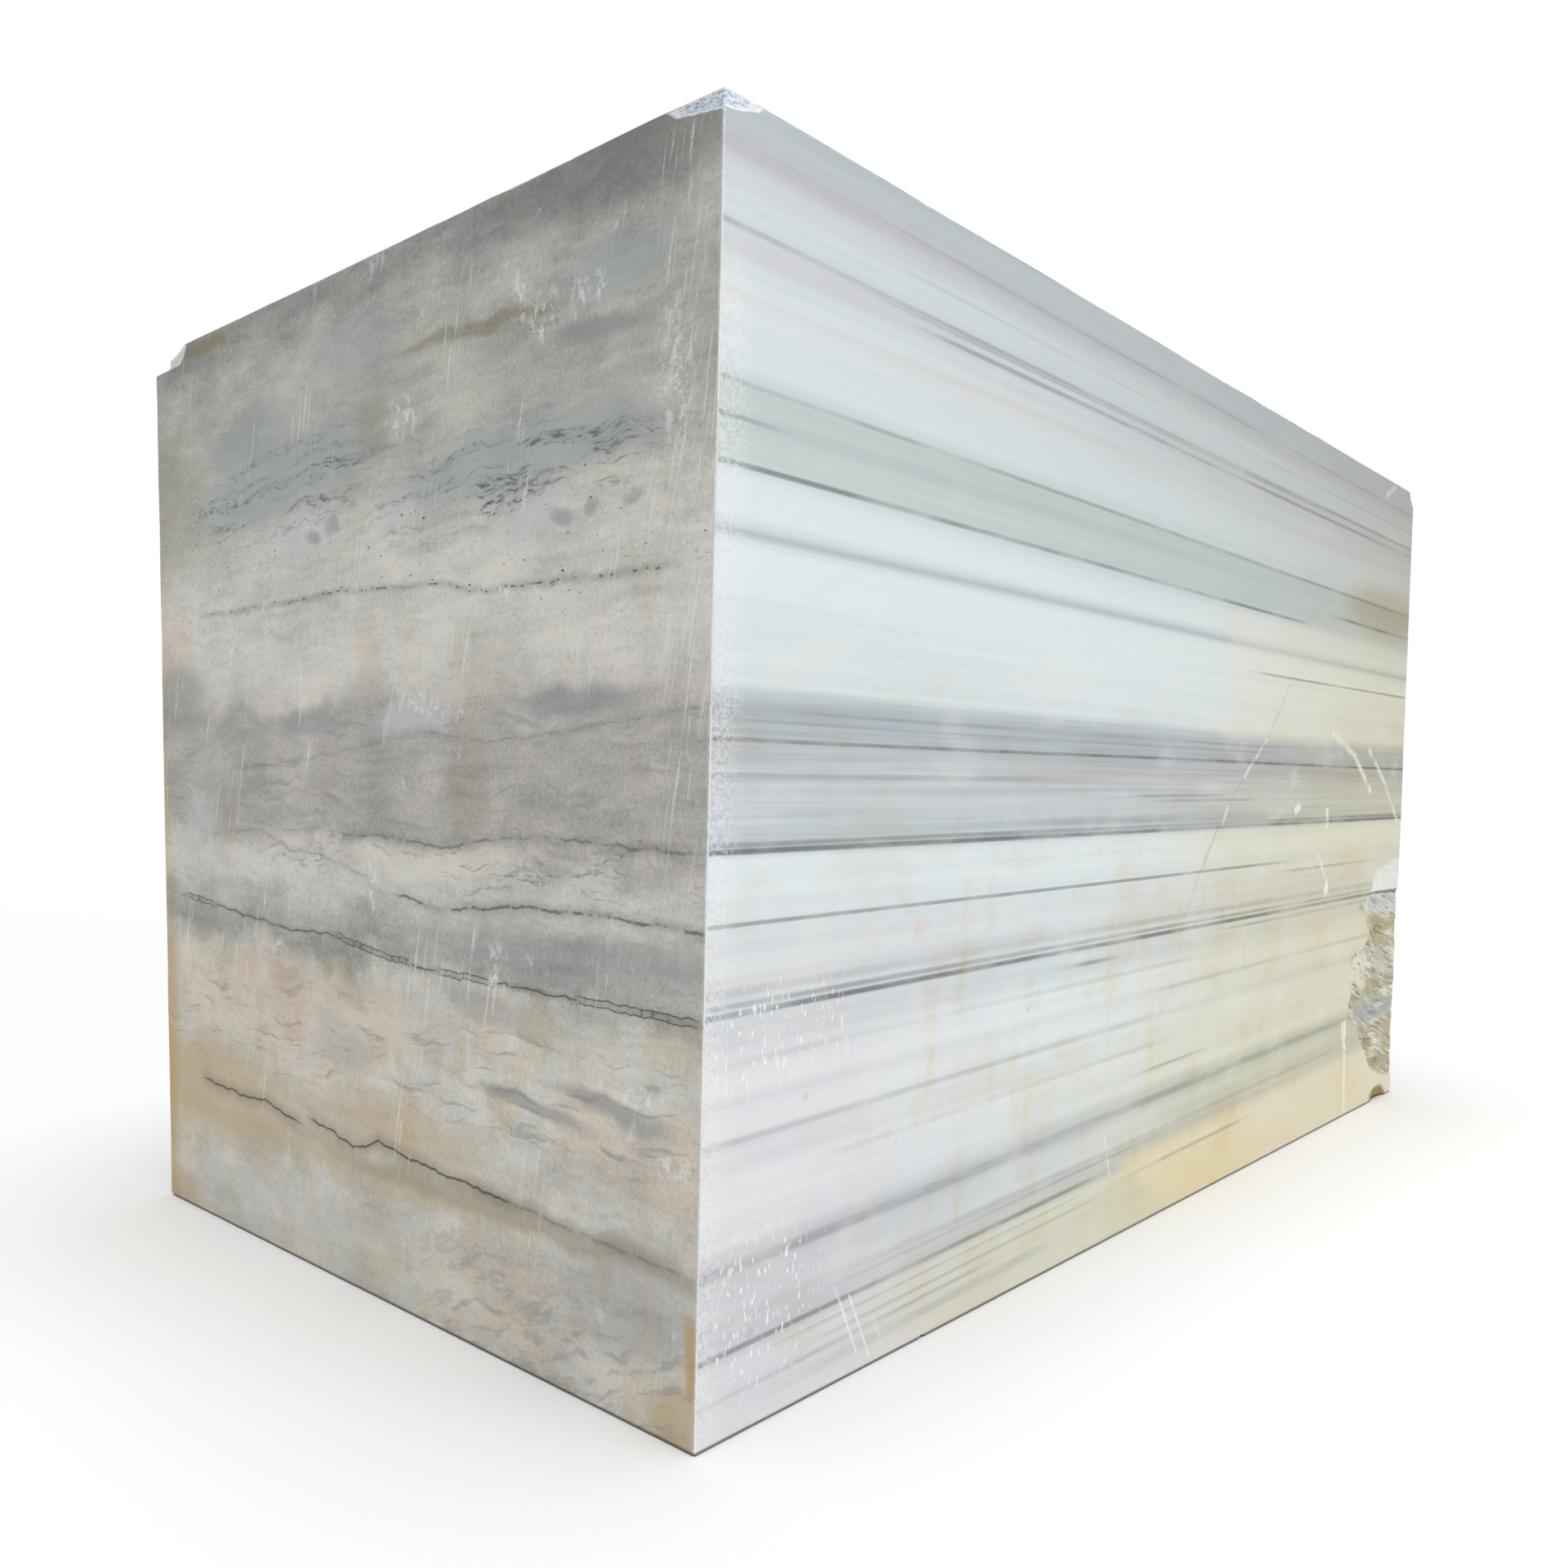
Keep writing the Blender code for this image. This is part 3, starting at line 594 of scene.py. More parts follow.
class Marble(Finish):
    """The banded marble: what every cut through the stone shares."""

    def __init__(self, name):
        super().__init__(name)
        spot = self.node("ShaderNodeTexCoord", {}, [], output="Object")
        self.place = self.node("ShaderNodeMapping", {}, {"Vector": spot, "Location": tuple(-NEAR_FOOT)})
        self.along, self.deep, self.high = self.parts(self.place)
        self.wavy = self.distorted(0.065, 8.0, 3.0)
        self.ragged = self.distorted(0.0045, 70.0, 2.0)
        self.wavy_along, _, self.wavy_high = self.parts(self.wavy)
        _, self.ragged_deep, self.ragged_high = self.parts(self.ragged)
        self.grain = self.noise(self.place, (170.0, 170.0, 190.0), 3.0, 0.75, shift=131.0)

    def parts(self, place):
        """The three coordinates of a place."""
        split = self.node("ShaderNodeSeparateXYZ", {}, [place]).socket.node
        return [Value(self, socket) for socket in split.outputs]

    def dot(self, place, axis):
        """How far a place lies along an axis, times the axis's length."""
        settings = {"operation": "DOT_PRODUCT"}
        return self.node("ShaderNodeVectorMath", settings, [place, tuple(axis)], output="Value")

    def behind(self, name):
        """How far the surface lies behind a sawn face."""
        normal, point = PLANES[name]
        return self.dot(self.place, -normal) + point.dot(normal)

    def distorted(self, amount, waves, detail):
        """The place pushed about by soft noise, so that outlines drawn on it come out ragged."""
        push = self.node("ShaderNodeTexNoise", {}, {
            "Vector": self.place, "Scale": waves, "Detail": detail}, output="Color")
        centred = self.vector("SUBTRACT", push, (0.5, 0.5, 0.5))
        return self.vector("MULTIPLY_ADD", centred, (amount, amount, amount), self.place)

    def by_level(self, level, span, stops, first=0.0):
        """A value set by height, through a list of stops."""
        return self.node("ShaderNodeValToRGB", {
            "stops": [(height / span - first, grey) for height, grey in stops]}, [level * (1 / span) - first])

    def blot(self, place, centre, half, soft=0.45, peak=1.0):
        """The peak inside an ellipsoid and 0 outside it, easing across its rim."""
        scale = tuple(1 / size for size in half)
        shift = tuple(-middle / size for middle, size in zip(centre, half))
        away = self.vector("MULTIPLY_ADD", place, scale, shift)
        length = self.node("ShaderNodeVectorMath", {"operation": "LENGTH"}, [away], output="Value")
        return length.rise(1 + soft, 1 - soft, peak)

    def blots(self, place, spots, soft=0.45):
        """The most of several blots, each with its centre and its half size."""
        total = 0.0
        for centre, half in spots:
            total = self.blot(place, centre, half, soft).most(total)
        return total

    def beds(self):
        """Height in the stack of beds: level along the length, folded and ragged into the block."""
        front = self.behind("front")
        dipped = self.high - self.along * (self.high * DIP_TURNS + DIP_ALONG) - front * DIP_DEEP
        folds = (self.noise(self.place, (0.30, 1.7, 1.5), 1.0) - 0.5) * 0.100 * front.rise(0.0, 0.45)
        waves = (self.noise(self.place, (0.45, 9.0, 6.0), 1.0, shift=3.0) - 0.5) * 0.012
        return dipped + folds + waves

    def greyness(self, bed):
        """The soft grey bands, along the grain."""
        bands = self.by_level(bed, BED_SPAN, LOWER_BEDS) + self.by_level(bed, BED_SPAN, UPPER_BEDS, 1.0)
        combed = self.noise(self.place, (0.5, 24.0, 60.0), 3.0, 0.55, shift=17.0) - 0.5
        broad = self.noise(self.place, (0.45, 6.0, 13.0), 2.0, shift=19.0) - 0.5
        fine = self.noise(self.place, (2.5, 120.0, 210.0), 2.0, shift=23.0) - 0.5
        lined = bed.near(0.79, 0.085, 0.02) * 0.55 + 0.14
        thinned = bed.near(0.205, 0.03, 0.02) * self.along.rise(0.6, 1.4) * 0.16
        return bands - LOWER_BEDS[-1][1] + combed * 0.42 + broad * 0.40 + fine * lined - thinned

    def bedded(self, bed):
        """The beds and their cast: icy at the near end, creamier and dimmer towards the far end and foot."""
        colour = self.blend(ICE, BAND_GREY, self.greyness(bed))
        drift = self.noise(self.wavy, (0.9, 2.2, 3.0), 3.0, 0.6, shift=29.0) - 0.5
        border = self.along - self.high * 0.75 + drift * 0.8
        shelf = self.wavy_along.rise(1.35, 1.41) * self.high.near(0.995, 0.115, 0.02)
        sunk = self.high.rise(0.17, 0.07) * self.along.rise(0.18, 0.45) * 0.55
        creamy = border.rise(0.20, 1.70) * (1.0 - self.high.rise(0.45, 1.40) * 0.45) + shelf * 0.16 + sunk
        colour = self.blend(colour, CREAM_TINT, creamy, "MULTIPLY")
        colour = self.blend(colour, PALE_CREAM, shelf * self.along.rise(2.6, 1.6) * 0.30)
        corner = self.wavy_along * 0.62 + self.high - 0.745
        foot = bed.rise(0.125, 0.10) * corner.rise(0.0, 0.03)
        colour = self.blend(colour, YELLOW_STONE, foot * 0.64)
        yellowest = self.blot(self.wavy, (1.40, 0.0, 0.05), (0.30, 0.5, 0.055))
        colour = self.blend(colour, YELLOW_TINT, yellowest, "MULTIPLY")
        lilac = self.along.rise(0.85, 0.15) * self.high.rise(0.75, 0.40)
        streaked = bed.near(1.365, 0.035, 0.030).most(bed.near(1.480, 0.020, 0.025))
        streaked = streaked.most(bed.near(0.560, 0.020, 0.020)).most(bed.near(0.785, 0.025, 0.020))
        streaks = self.noise(self.place, (0.8, 5.0, 42.0), 2.0, 0.55, shift=223.0).rise(0.42, 0.56)
        lilac = lilac.most(streaked * streaks)
        colour = self.blend(colour, LILAC_TINT, lilac, "MULTIPLY")
        green = bed.near(1.185, 0.04, 0.02).most(bed.near(0.185, 0.04, 0.02) * self.along.rise(0.9, 1.3))
        colour = self.blend(colour, GREEN_TINT, green, "MULTIPLY")
        dim = self.along.rise(-0.9, 3.2) * (self.high.rise(1.0, 1.35) * 0.54 + 0.12)
        return self.blend(colour, FAR_GREY, dim)

    def seams(self, colour, bed):
        """Every thin dark seam; inside the block they break up into dashes."""
        dashes = self.noise(self.place, (0.9, 13.0, 7.0), 2.0, shift=13.0).rise(0.46, 0.60)
        inside = self.behind("front").rise(0.004, 0.04)
        fade = self.noise(self.place, (3.0, 9.0, 15.0), 4.0, 0.65, shift=41.0).rise(0.34, 0.58)
        whole = (1.0 - inside * (1.0 - dashes * 0.45)) * (fade * 0.65 + 0.35)
        total = 0.0
        for height, half, dark, start, end in SEAMS:
            line = bed.near(height, half, half * 2.4, dark)
            if start is not None:
                line = self.along.rise(start - 0.05, start + 0.12, line)
            if end is not None:
                line = self.along.rise(end + 0.05, end - 0.12, line)
            total = line.most(total)
        return self.blend(colour, SEAM_DARK, total * whole)

    def inset(self):
        """How far the surface lies in from the nearer end, long face, and top or underside."""
        pairs = (("near_end", "far_end"), ("front", "back"), ("top", "underside"))
        return [self.behind(one).least(self.behind(other)) for one, other in pairs]

    def edge_depth(self):
        """How far the surface lies from the nearest sawn edge, counted in the face that it belongs to."""
        across, through, upward = self.inset()
        return across.least(through).most(across.most(through).least(upward))

    def scalloped(self, colour):
        """The ochre stain in the scallop at the foot of the long face."""
        scallop = self.blot(self.wavy, (2.385, 0, 0.0), (0.056, 0.1, 0.026), 0.2, 0.85)
        return self.blend(colour, OCHRE_DARK, scallop)

    def edges(self, colour):
        """The sawn edges: bruised white with a painted highlight, darker rims, and a painted shadow along the
        foot.
        """
        frayed = self.edge_depth() + (self.grain - 0.5) * 0.0030
        rimmed = frayed.rise(*RIM_BRUISE_AND_HIGHLIGHT)
        # Darker along the top and far-end rims.
        darkened_rim = self.behind("top").rise(*RIM_DARKENING).most(self.behind("far_end").rise(*RIM_DARKENING))
        # The rims are bruised white, and this white is partly a painted highlight where the edges catch the
        # light.
        colour = self.blend(colour, SCUFF_AND_HIGHLIGHT_WHITE, rimmed * (1.0 - darkened_rim) * 0.8)
        colour = self.blend(colour, DASH_DARK, rimmed * darkened_rim * 0.5)
        # Painted contact shadow: the lowest few millimetres are darkened where shade falls in the gap under
        # the block.
        return self.blend(colour, PAINTED_FOOT_SHADOW, self.high.rise(*FOOT_SHADOW_BAND) * 0.85)

    def done(self, colour, relief, roughness):
        """Plug the colour, the fine relief in metres and the roughness into the shader."""
        shader = self.shader
        self.plug(shader.inputs["Base Color"], colour)
        self.plug(shader.inputs["Roughness"], roughness)
        shader.inputs["Specular IOR Level"].default_value = 0.3
        bump = self.node("ShaderNodeBump", {}, {
            "Strength": 1.0, "Distance": 1.0, "Height": relief}, output="Normal")
        self.plug(shader.inputs["Normal"], bump)
        return self.material


class AlongGrain(Marble):
    """Sawn along the grain: the front, the back, the top and the underside."""

    def stroke(self, start, end, half, strength):
        """A thin straight mark on the long face between two places along and high."""
        first = Vector((start[0], 0, start[1]))
        run = Vector((end[0] - start[0], 0, end[1] - start[1]))
        reach = run.length / 2
        middle = first + run / 2
        way = run.normalized()
        side = Vector((way.z, 0, -way.x))
        lengthwise = self.dot(self.ragged, way).near(middle.dot(way), reach * 0.94, reach * 0.10, strength)
        return self.dot(self.ragged, side).near(middle.dot(side), half * 0.5, half * 2.5, lengthwise)

    def front(self, colour):
        """Faint clouds along the grain, the long face's drips, stains, cracks, scratches, scuffs, and a
        painted highlight by its near edge.
        """
        on_front = self.behind("front").rise(*ON_FACE)
        drips = self.noise(self.wavy, (15.0, 2.0, 5.0), 4.0, 0.65, shift=73.0).rise(0.50, 0.70)
        drips = drips * self.along.near(0.95, 0.50, 0.35)
        drips = drips * self.high.rise(0.85, 0.50) * self.high.rise(0.02, 0.15)
        colour = self.blend(colour, DRIP_TINT, drips * on_front * 0.65, "MULTIPLY")
        faded = self.noise(self.wavy, (4.5, 2.0, 8.0), 3.0, 0.6, shift=193.0)
        tanned = faded.rise(0.50, 0.64) * self.high.rise(1.1, 0.7) * 0.35
        colour = self.blend(colour, TAN_TINT, tanned, "MULTIPLY")
        low = self.high.rise(1.10, 0.90) * 0.15 + 0.06
        colour = self.blend(colour, WARM_WHITE, faded.rise(0.48, 0.34) * low)
        spots = self.noise(self.place, (26.0, 20.0, 22.0), 1.0, shift=79.0).rise(0.74, 0.80)
        colour = self.blend(colour, OCHRE, spots * on_front * self.high.rise(0.9, 0.5) * 0.3)
        stain = self.blot(self.wavy, (2.30, 0, 1.20), (0.26, 0.3, 0.06))
        colour = self.blend(colour, BROWN_TINT, stain * 0.75, "MULTIPLY")
        bruise = self.blot(self.wavy, (2.43, 0, 0.560), (0.13, 0.1, 0.034), 0.35)
        colour = self.blend(colour, SUGAR_WHITE, bruise * (self.grain.rise(0.40, 0.60) * 0.25 + 0.60))
        uneven = self.noise(self.place, (38.0, 20.0, 38.0), 3.0, 0.7, shift=181.0).rise(0.36, 0.56)
        uneven = (uneven * 0.8 + 0.2) * on_front
        for start, end, half, paint, strength in FRONT_MARKS:
            colour = self.blend(colour, paint, self.stroke(start, end, half, strength) * uneven)
        ticks = self.noise(self.place, (200.0, 60.0, 62.0), 1.0, shift=83.0).rise(0.62, 0.70)
        scuffed = self.blots(self.wavy, [
            ((0.125, 0, 0.475), (0.13, 0.1, 0.07)), ((0.10, 0, 0.14), (0.11, 0.1, 0.10))])
        # Painted highlight: a soft whitened band of light along the near upright edge of the long face.
        near_edge_highlight = self.along.rise(0.055, 0.004) * self.grain.rise(0.40, 0.60) * self.high.rise(1.45, 1.30)
        colour = self.blend(colour, SCUFF_AND_HIGHLIGHT_WHITE, (ticks * scuffed * 0.8).most(near_edge_highlight * 0.42) * on_front)
        return self.scalloped(colour)

    def build(self):
        bed = self.beds()
        colour = self.bedded(bed)
        colour = self.seams(colour, bed)
        colour = self.front(colour)
        colour = self.blend(colour, BAND_GREY, (self.grain - 0.5) * 0.45)
        colour = self.edges(colour)
        sheen = self.noise(self.place, (7.0, 7.0, 22.0), 2.0, 0.6, shift=191.0) - 0.5
        return self.done(colour, self.grain * 0.00012, (self.grain - 0.5) * 0.22 + sheen * 0.30 + 0.46)


class AcrossGrain(Marble):
    """Sawn across the grain: the two ends."""

    def __init__(self, name):
        super().__init__(name)
        self.leaning = {}
        for slope in sorted({patch[4] for patch in END_PATCHES} | {CLOUD_RISE, FLECK_RISE}):
            lift = self.node("ShaderNodeCombineXYZ", {}, {"Z": self.deep * slope})
            self.leaning[slope] = self.vector("ADD", self.wavy, lift)
        back_lean = self.node("ShaderNodeCombineXYZ", {}, {"Y": self.high * 0.19})
        sawn_way = self.vector("ADD", self.place, back_lean)
        saw = self.noise(sawn_way, (60.0, 165.0, 10.0), 2.0, 0.65, shift=97.0).rise(0.55, 0.66)
        worn = self.noise(sawn_way, (4.0, 10.0, 5.0), 2.0, shift=101.0).rise(0.56, 0.66)
        handled = self.deep.rise(0.10, 0.02) * self.high.rise(0.55, 0.75) * self.high.rise(1.50, 1.36)
        self.scratches = saw * worn.most(handled * 0.9)
        self.jag = (self.noise(self.place, (3.0, 24.0, 6.0), 2.0, 0.6, shift=137.0) - 0.5) * 0.014

    def mottled(self):
        """The soft grey and warm mottling of the ends."""
        billow = self.noise(self.place, (1.5, 6.5, 7.0), 3.0, 0.6, shift=127.0) - 0.5
        level = self.wavy_high - self.deep * 0.010 + billow * 0.12
        mottle = self.noise(self.place, (2.0, 5.0, 9.0), 5.0, 0.62, shift=31.0) - 0.5
        soft = self.noise(self.wavy, (6.0, 9.0, 62.0), 3.0, 0.6, shift=37.0) - 0.5
        grey = self.by_level(level, END_SPAN, END_BEDS) + mottle * 1.15 + soft * 0.55
        end = self.blend(WARM_WHITE, END_GREY, grey + (self.grain - 0.5) * 0.85)
        end = self.blend(end, LILAC_TINT, self.high.near(0.78, 0.10, 0.06) * 0.5, "MULTIPLY")
        end = self.blend(end, GREEN_TINT, self.high.near(1.30, 0.12, 0.06) * 0.6, "MULTIPLY")
        warm = self.noise(self.wavy, (2.0, 8.0, 5.0), 3.0, 0.6, shift=53.0)
        low = self.high.rise(0.54, 0.46)
        end = self.blend(end, PINK_TINT, warm.rise(0.46, 0.60) * (low * 0.85 + 0.10), "MULTIPLY")
        return self.blend(end, TAN_TINT, warm.rise(0.47, 0.34) * (low * 0.45 + 0.20), "MULTIPLY")

    def patched(self, end):
        """Clouds, stains and pale lobes, one by one."""
        for across, high, half, tall, slope, paint, strength in END_PATCHES:
            centre = (0, across, high + slope * across)
            mask = self.blot(self.leaning[slope], centre, (THROUGH, half, tall), 0.50, strength)
            end = self.blend(end, paint, mask, "MULTIPLY" if paint in END_TINTS else "MIX")
        return end

    def dashed(self, end):
        """Rows of dashes in the clouds and at mid height, smudges along the beds, flecks and loose dots."""
        rising = self.leaning[CLOUD_RISE]
        rows = self.noise(rising, (4.0, 4.5, 62.0), 2.0, 0.5, shift=163.0).rise(0.47, 0.60)
        clouds = self.blots(rising, [
            ((0, 0.98, 1.235 + CLOUD_RISE * 0.98), (THROUGH, 0.30, 0.070)),
            ((0, 0.36, 1.175 + CLOUD_RISE * 0.36), (THROUGH, 0.32, 0.060))]) * rows
        dash = self.noise(rising, (12.0, 42.0, 230.0), 2.0, 0.65, shift=59.0).rise(0.46, 0.66)
        end = self.blend(end, DASH_BLUE, clouds * (dash * 0.72 + 0.10))
        thicket = self.blots(self.wavy, [
            ((0, 0.24, 0.655), (THROUGH, 0.34, 0.045)), ((0, 0.92, 0.655), (THROUGH, 0.10, 0.025))])
        end = self.blend(end, DASH_DARK, thicket * rows * dash * 0.50)
        smudged = self.high.near(0.37, 0.05, 0.05).most(self.high.near(0.76, 0.09, 0.04) * 0.7)
        smudges = self.noise(self.wavy, (4.0, 8.0, 75.0), 3.0, 0.6, shift=61.0).rise(0.55, 0.68)
        end = self.blend(end, SLATE, smudges * (smudged * 0.45 + 0.08))
        flecked = self.deep.rise(0.70, 0.40) * self.high.rise(0.17, 0.11)
        flecks = self.noise(self.leaning[FLECK_RISE], (4.0, 15.0, 62.0), 2.0, 0.6, shift=167.0)
        end = self.blend(end, SLATE, flecks.rise(0.50, 0.64) * flecked * 0.38)
        dots = self.noise(self.ragged, (60.0, 90.0, 190.0), 0.0, shift=67.0).rise(0.76, 0.88)
        return self.blend(end, DASH_DARK, dots * (self.high.near(1.10, 0.06, 0.1) * 0.8 + 0.15))

    def end_line(self, points, half, make):
        """How dark a line across an end is, and the halo beside it, through places across and high."""
        heights = [high for _, high in points]
        low, span = min(heights) - 0.02, max(heights) - min(heights) + 0.04
        curve = [((across - LINES_FROM) / LINES_SPAN, (high - low) / span) for across, high in sorted(points)]
        level = self.node("ShaderNodeFloatCurve", {"curve": curve}, {
            "Value": (self.ragged_deep - LINES_FROM) * (1 / LINES_SPAN)})
        away = (self.ragged_high + self.jag - level * span - low).size()
        reach, depth = (13, 0.32) if make == "solid" else (8, 0.28)
        halo = away.rise(half * reach, half) * depth
        line = away.rise(half * 2.2, half * 0.4)
        if make == "railed":
            rails = (away - RAIL_GAP).size().rise(half * 1.5, half * 0.3)
            rungs = away.rise(RAIL_GAP * 1.15, RAIL_GAP * 0.9) * self.rungs
            line = line * (1.0 - self.split) + rails.most(rungs * 0.8) * self.split
        elif make == "dotted":
            line = line * self.dotted
        elif make == "frayed":
            line = line * self.frayed + away.rise(half * 4, half) * (1.0 - self.frayed) * 0.35
        started = self.deep.rise(points[0][0] + 0.02, points[0][0] - 0.02)
        return line.most(halo) * started * self.deep.rise(points[-1][0] - 0.03, points[-1][0] + 0.02)

    def lined(self, end):
        """Cracks and jagged lines."""
        self.rungs = self.noise(self.place, (12.0, 105.0, 12.0), 0.0, shift=139.0).rise(0.60, 0.66)
        self.split = self.noise(self.place, (3.0, 5.0, 2.0), 0.0, shift=149.0).rise(0.44, 0.52)
        self.frayed = self.noise(self.place, (6.0, 22.0, 9.0), 3.0, 0.7, shift=71.0).rise(0.40, 0.54)
        self.dotted = self.noise(self.place, (6.0, 95.0, 9.0), 1.0, 0.6, shift=173.0).rise(0.48, 0.60)
        for half, dark, make, points in END_LINES:
            paint = CRACK_BROWN if make == "solid" else DASH_DARK
            end = self.blend(end, paint, self.end_line(points, half, make) * dark)
        return end

    def worn_away(self, end):
        """Slanting saw scratches, pale bruises, a beige strip at the near edge and rust at the back one."""
        streaks = self.scratches * (self.grain.rise(0.42, 0.58) * 0.55 + 0.15)
        end = self.blend(end, SCUFF_AND_HIGHLIGHT_WHITE, streaks)
        bruises = self.noise(self.wavy, (9.0, 17.0, 14.0), 4.0, 0.7, shift=179.0).rise(0.64, 0.72)
        end = self.blend(end, PALE_LOBE, bruises * 0.6)
        bruised = self.blots(self.wavy, [
            ((0, across, high), (THROUGH, half, tall)) for across, high, half, tall in END_BRUISES], 0.6)
        specks = self.noise(self.ragged, (70.0, 75.0, 55.0), 3.0, 0.75, shift=211.0).rise(0.50, 0.60)
        end = self.blend(end, SCUFF_AND_HIGHLIGHT_WHITE, bruised * specks * 0.6)
        end = self.blend(end, EDGE_BEIGE, self.behind("front").rise(0.0060, 0.0020) * 0.40)
        rust = self.behind("back").rise(0.060, 0.012) * self.high.rise(1.5, 0.2)
        return self.blend(end, TAN_TINT, rust, "MULTIPLY")

    def build(self):
        end = self.mottled()
        end = self.patched(end)
        end = self.dashed(end)
        end = self.lined(end)
        end = self.worn_away(end)
        end = self.edges(end)
        relief = self.grain * 0.00032 + self.scratches * 0.00012
        return self.done(end, relief, (self.grain - 0.5) * 0.26 + 0.48)


class BrokenStone(Marble):
    """Where the stone has broken or its edges have worn."""

    def icy(self):
        """Fresh blue-white crystal, at the near top corner, with painted light on its lit half."""
        needles = self.noise(self.ragged, (150.0, 150.0, 520.0), 3.0, 0.7, shift=157.0)
        icy = self.blend(CRYSTAL_BLUE, CRYSTAL_DARK, needles.rise(0.53, 0.60) * 0.75)
        icy = self.blend(icy, SCUFF_AND_HIGHLIGHT_WHITE, needles.rise(0.46, 0.40) * 0.9)
        # Paler along the length: partly the whiter broken crystal, partly painted light on the lit half of
        # the corner spall.
        paler_lit_half = self.along.rise(0.015, 0.075) * 0.6
        return self.blend(icy, SCUFF_AND_HIGHLIGHT_WHITE, self.rim.rise(0.0024, 0.0008).most(paler_lit_half) * 0.8)

    def rock(self, sugar):
        """The brown, green-grey and blue leaves of the patch at the foot of the long face."""
        dips = self.dot(self.wavy, (0.34, 0.10, 1.0)) * 0.5 + self.dot(self.ragged, (0.17, 0.05, 0.5))
        flow = self.node("ShaderNodeCombineXYZ", {}, {
            "X": self.along * 15.0, "Y": self.deep * 30.0, "Z": dips * 115.0})
        leaves = self.noise(flow, (1.0, 1.0, 1.0), 4.0, 0.65, shift=107.0)
        lumps = self.noise(flow, (0.55, 0.6, 0.26), 4.0, 0.65, shift=109.0)
        rock = self.blend(ROCK_GREEN, ROCK_CREAM, lumps.rise(0.50, 0.40))
        rock = self.blend(rock, ROCK_BROWN, lumps.rise(0.50, 0.60))
        for along, high, half, tall, paint, strength in PATCH_ZONES:
            zone = self.blot(self.wavy, (along, 0, high), (half, 0.3, tall), 0.3, strength)
            rock = self.blend(rock, paint, zone)
        strong = self.noise(self.place, (16.0, 16.0, 30.0), 3.0, 0.65, shift=197.0).rise(0.42, 0.58)
        rock = self.blend(rock, ROCK_DARK, leaves.rise(0.51, 0.62) * (strong * 0.6 + 0.2))
        rock = self.blend(rock, SUGAR_WHITE, leaves.rise(0.47, 0.39) * (strong * 0.5 + 0.25))
        rimmed = self.rim.rise(0.0050, 0.0015) * self.high.rise(0.26, 0.22)
        rock = self.blend(rock, ROCK_CREAM, rimmed * (strong * 0.5 + 0.4))
        crushed = self.wavy_high.near(0.565, 0.045, 0.012)
        rock = self.blend(rock, SUGAR_WHITE, crushed * (0.80 + (sugar - 0.5) * 0.9))
        rock = self.blend(rock, SEAM_DARK, self.ragged_high.near(0.517, 0.0020, 0.005) * 0.75)
        return self.blend(rock, ROCK_DARK, (sugar - 0.5) * 1.2)

    def build(self):
        across, through, upward = self.inset()
        self.rim = across.least(through).least(upward)
        torn = self.noise(self.place, (60.0, 60.0, 60.0), 3.0, 0.7, shift=151.0) - 0.5
        bare = (self.rim + torn * 0.0022).rise(0.0003, 0.0009)
        sugar = self.noise(self.place, (260.0, 260.0, 260.0), 2.0, 0.7, shift=103.0)
        colour = self.bedded(self.beds())
        fresh = self.blend(SUGAR_WHITE, colour, 0.25 + (sugar - 0.5) * 0.5)
        corner = self.blot(self.place, (0.0, 0.0, 1.55), (0.20, 0.22, 0.05), 0.2)
        fresh = self.blend(fresh, self.icy(), corner)
        patch = self.along.rise(2.05, 2.12) * self.high.rise(0.66, 0.62) * self.deep.rise(0.35, 0.25)
        fresh = self.blend(fresh, self.rock(sugar), patch)
        colour = self.blend(colour, fresh, bare)
        colour = self.edges(self.scalloped(colour))
        return self.done(colour, sugar * 0.0004, (sugar - 0.5) * 0.30 + 0.66)


# ---------------------------------------------------------------- the studio

# Each lamp: where its light comes from, its strength and how wide it spreads.
LAMPS = {
    "overhead": (Vector((-0.04, -0.07, 1.0)), 2.58, math.radians(50)),
    "side": (Vector((0.25, -1.0, 0.04)), 1.48, math.radians(35)),
}
ROOM_LIGHT = 0.22
FLOOR_HALF = 60.0
FLOOR_PALE = (0.93, 0.93, 0.93, 1.0)
WHITE = (1.0, 1.0, 1.0, 1.0)


def studio_floor():
    """A wide pale floor under the block."""
    bm = bmesh.new()
    bmesh.ops.create_grid(bm, x_segments=1, y_segments=1, size=FLOOR_HALF)
    mesh = bpy.data.meshes.new("floor")
    bm.to_mesh(mesh)
    bm.free()
    floor = bpy.data.objects.new("floor", mesh)
    bpy.context.scene.collection.objects.link(floor)
    finish = Finish("pale_floor")
    finish.shader.inputs["Base Color"].default_value = FLOOR_PALE
    finish.shader.inputs["Roughness"].default_value = 0.9
    finish.shader.inputs["Specular IOR Level"].default_value = 0.0
    mesh.materials.append(finish.material)


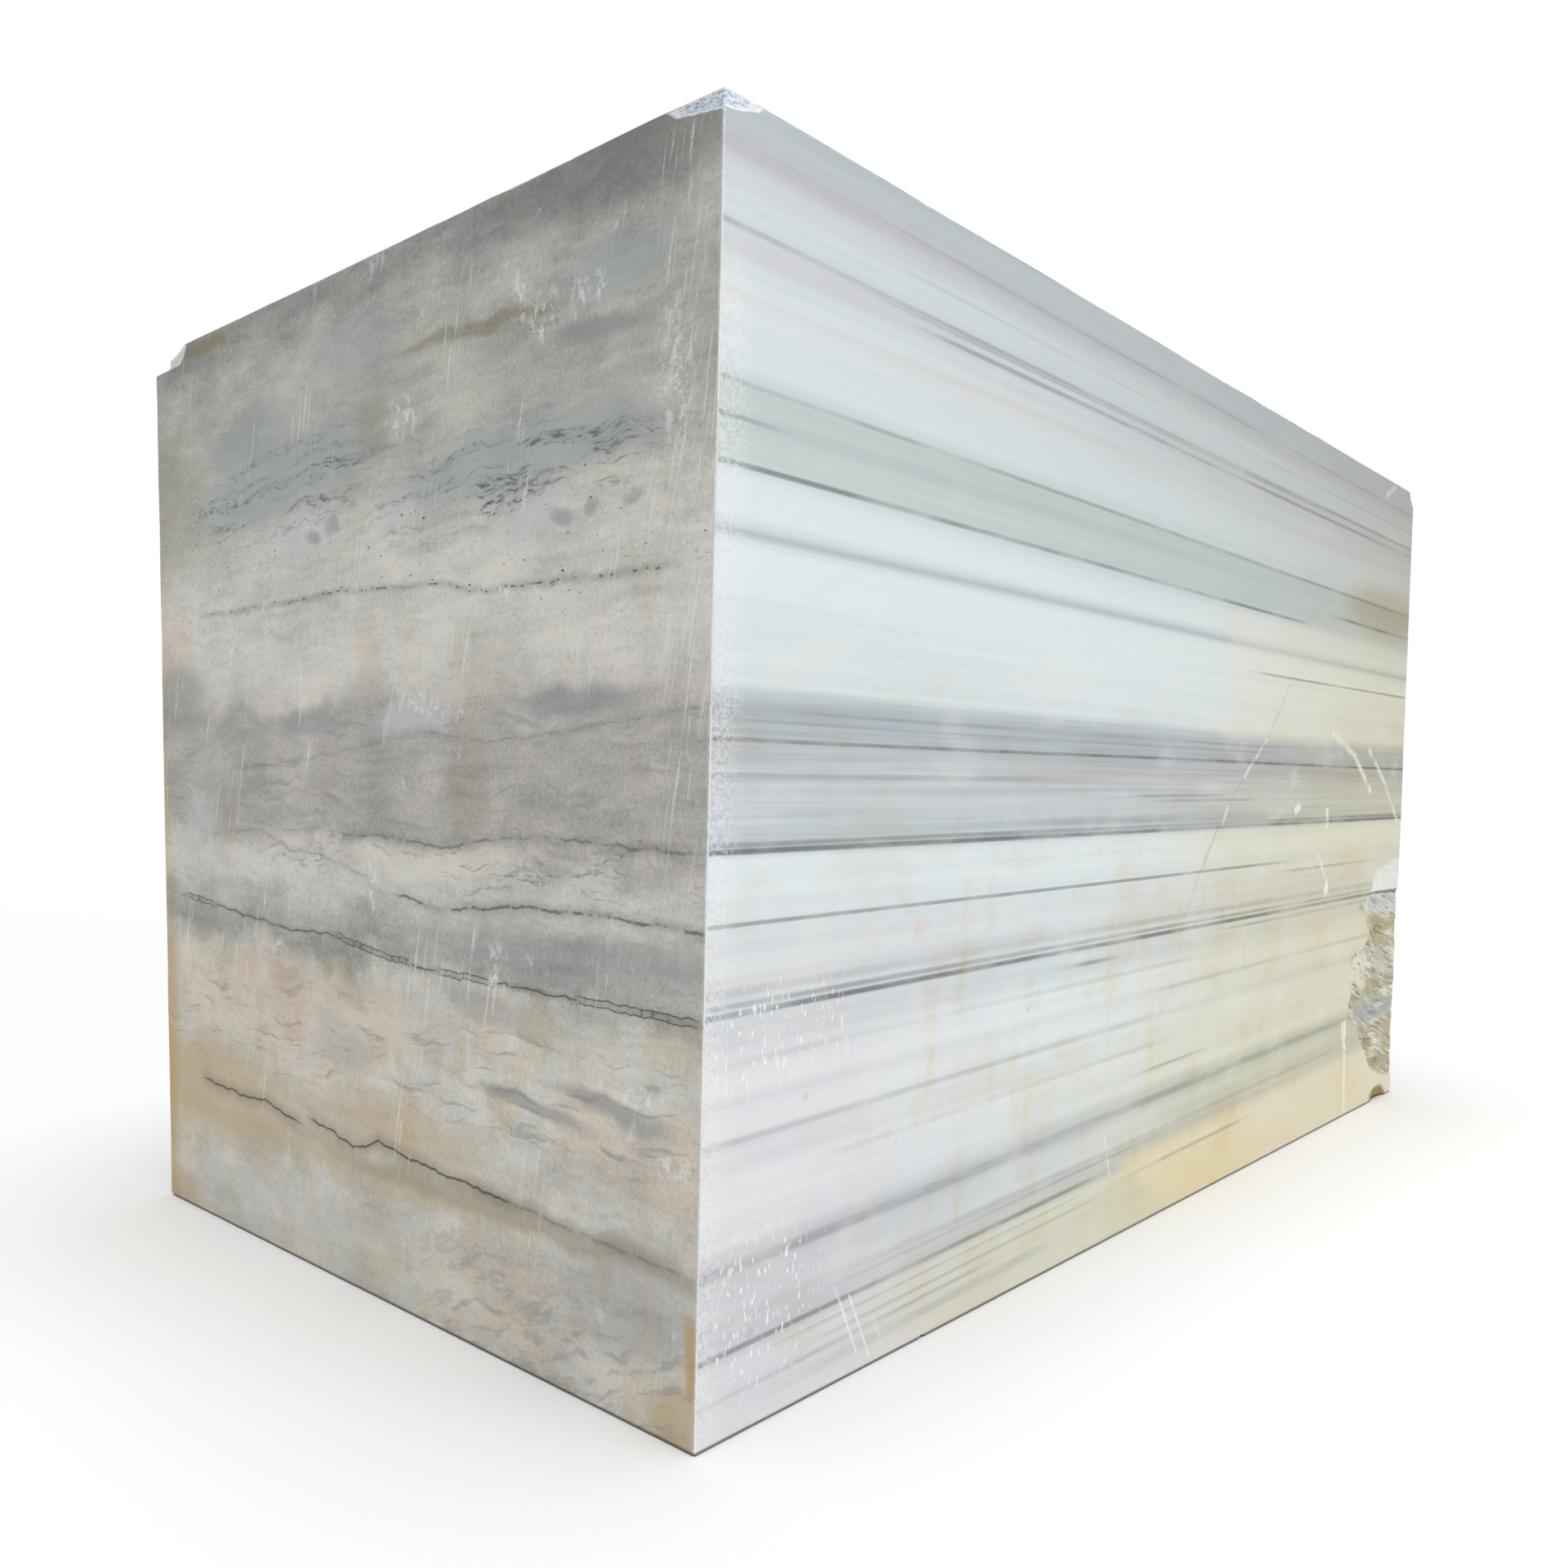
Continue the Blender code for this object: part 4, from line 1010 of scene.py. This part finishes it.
def studio_world():
    """Even light from all round; the background itself shows white."""
    world = bpy.data.worlds.new("studio")
    bpy.context.scene.world = world
    world.use_nodes = True
    sky = Nodes(world.node_tree)
    sky.tree.nodes.remove(sky.tree.nodes["Background"])
    lit = sky.node("ShaderNodeBackground", {}, {"Color": WHITE, "Strength": ROOM_LIGHT})
    shown = sky.node("ShaderNodeBackground", {}, {"Color": WHITE, "Strength": 1.0})
    seen = sky.node("ShaderNodeLightPath", {}, [], output="Is Camera Ray")
    mixed = sky.node("ShaderNodeMixShader", {}, [seen, lit, shown])
    sky.plug(sky.tree.nodes["World Output"].inputs["Surface"], mixed)


def lamps():
    """A soft light from overhead, and a weaker one on the long face."""
    for name, (source, strength, spread) in LAMPS.items():
        lamp = bpy.data.lights.new(name, "SUN")
        lamp.energy = strength
        lamp.angle = spread
        holder = bpy.data.objects.new(name, lamp)
        holder.rotation_euler = source.to_track_quat("Z", "Y").to_euler()
        bpy.context.scene.collection.objects.link(holder)


# The camera stands off the near upright edge, at half its height, and looks almost level.
CAMERA_FROM_FOOT = Vector((-1.0579, -1.0710, 0.7781))
CAMERA_HEADING = math.radians(48.2308)
CAMERA_RISE = math.radians(-0.1496)
CAMERA_ROLL = math.radians(0.6667)
CAMERA_LENS = 30.088
CAMERA_SENSOR = 36.0


def studio_camera():
    ahead = Vector((
        math.sin(CAMERA_HEADING) * math.cos(CAMERA_RISE),
        math.cos(CAMERA_HEADING) * math.cos(CAMERA_RISE),
        math.sin(CAMERA_RISE),
    ))
    level = ahead.cross(Vector((0, 0, 1))).normalized()
    upright = level.cross(ahead)
    side = level * math.cos(CAMERA_ROLL) + upright * math.sin(CAMERA_ROLL)
    up = upright * math.cos(CAMERA_ROLL) - level * math.sin(CAMERA_ROLL)
    lens = bpy.data.cameras.new("camera")
    lens.sensor_width = CAMERA_SENSOR
    lens.lens = CAMERA_LENS
    camera = bpy.data.objects.new("camera", lens)
    turn = Matrix((side, up, -ahead)).transposed().to_4x4()
    camera.matrix_world = Matrix.Translation(NEAR_FOOT + CAMERA_FROM_FOOT) @ turn
    bpy.context.scene.collection.objects.link(camera)
    bpy.context.scene.camera = camera


# ---------------------------------------------------------------- the scene

# The finishes go on in the order of their numbers: ALONG, ACROSS, BROKEN.
FINISHES = (
    (AlongGrain, "marble_along_the_grain"),
    (AcrossGrain, "marble_across_the_grain"),
    (BrokenStone, "broken_marble"),
)

stone = marble_stone()
for kind, name in FINISHES:
    stone.data.materials.append(kind(name).build())
studio_floor()
studio_world()
lamps()
studio_camera()
bpy.context.scene.view_settings.view_transform = "Standard"
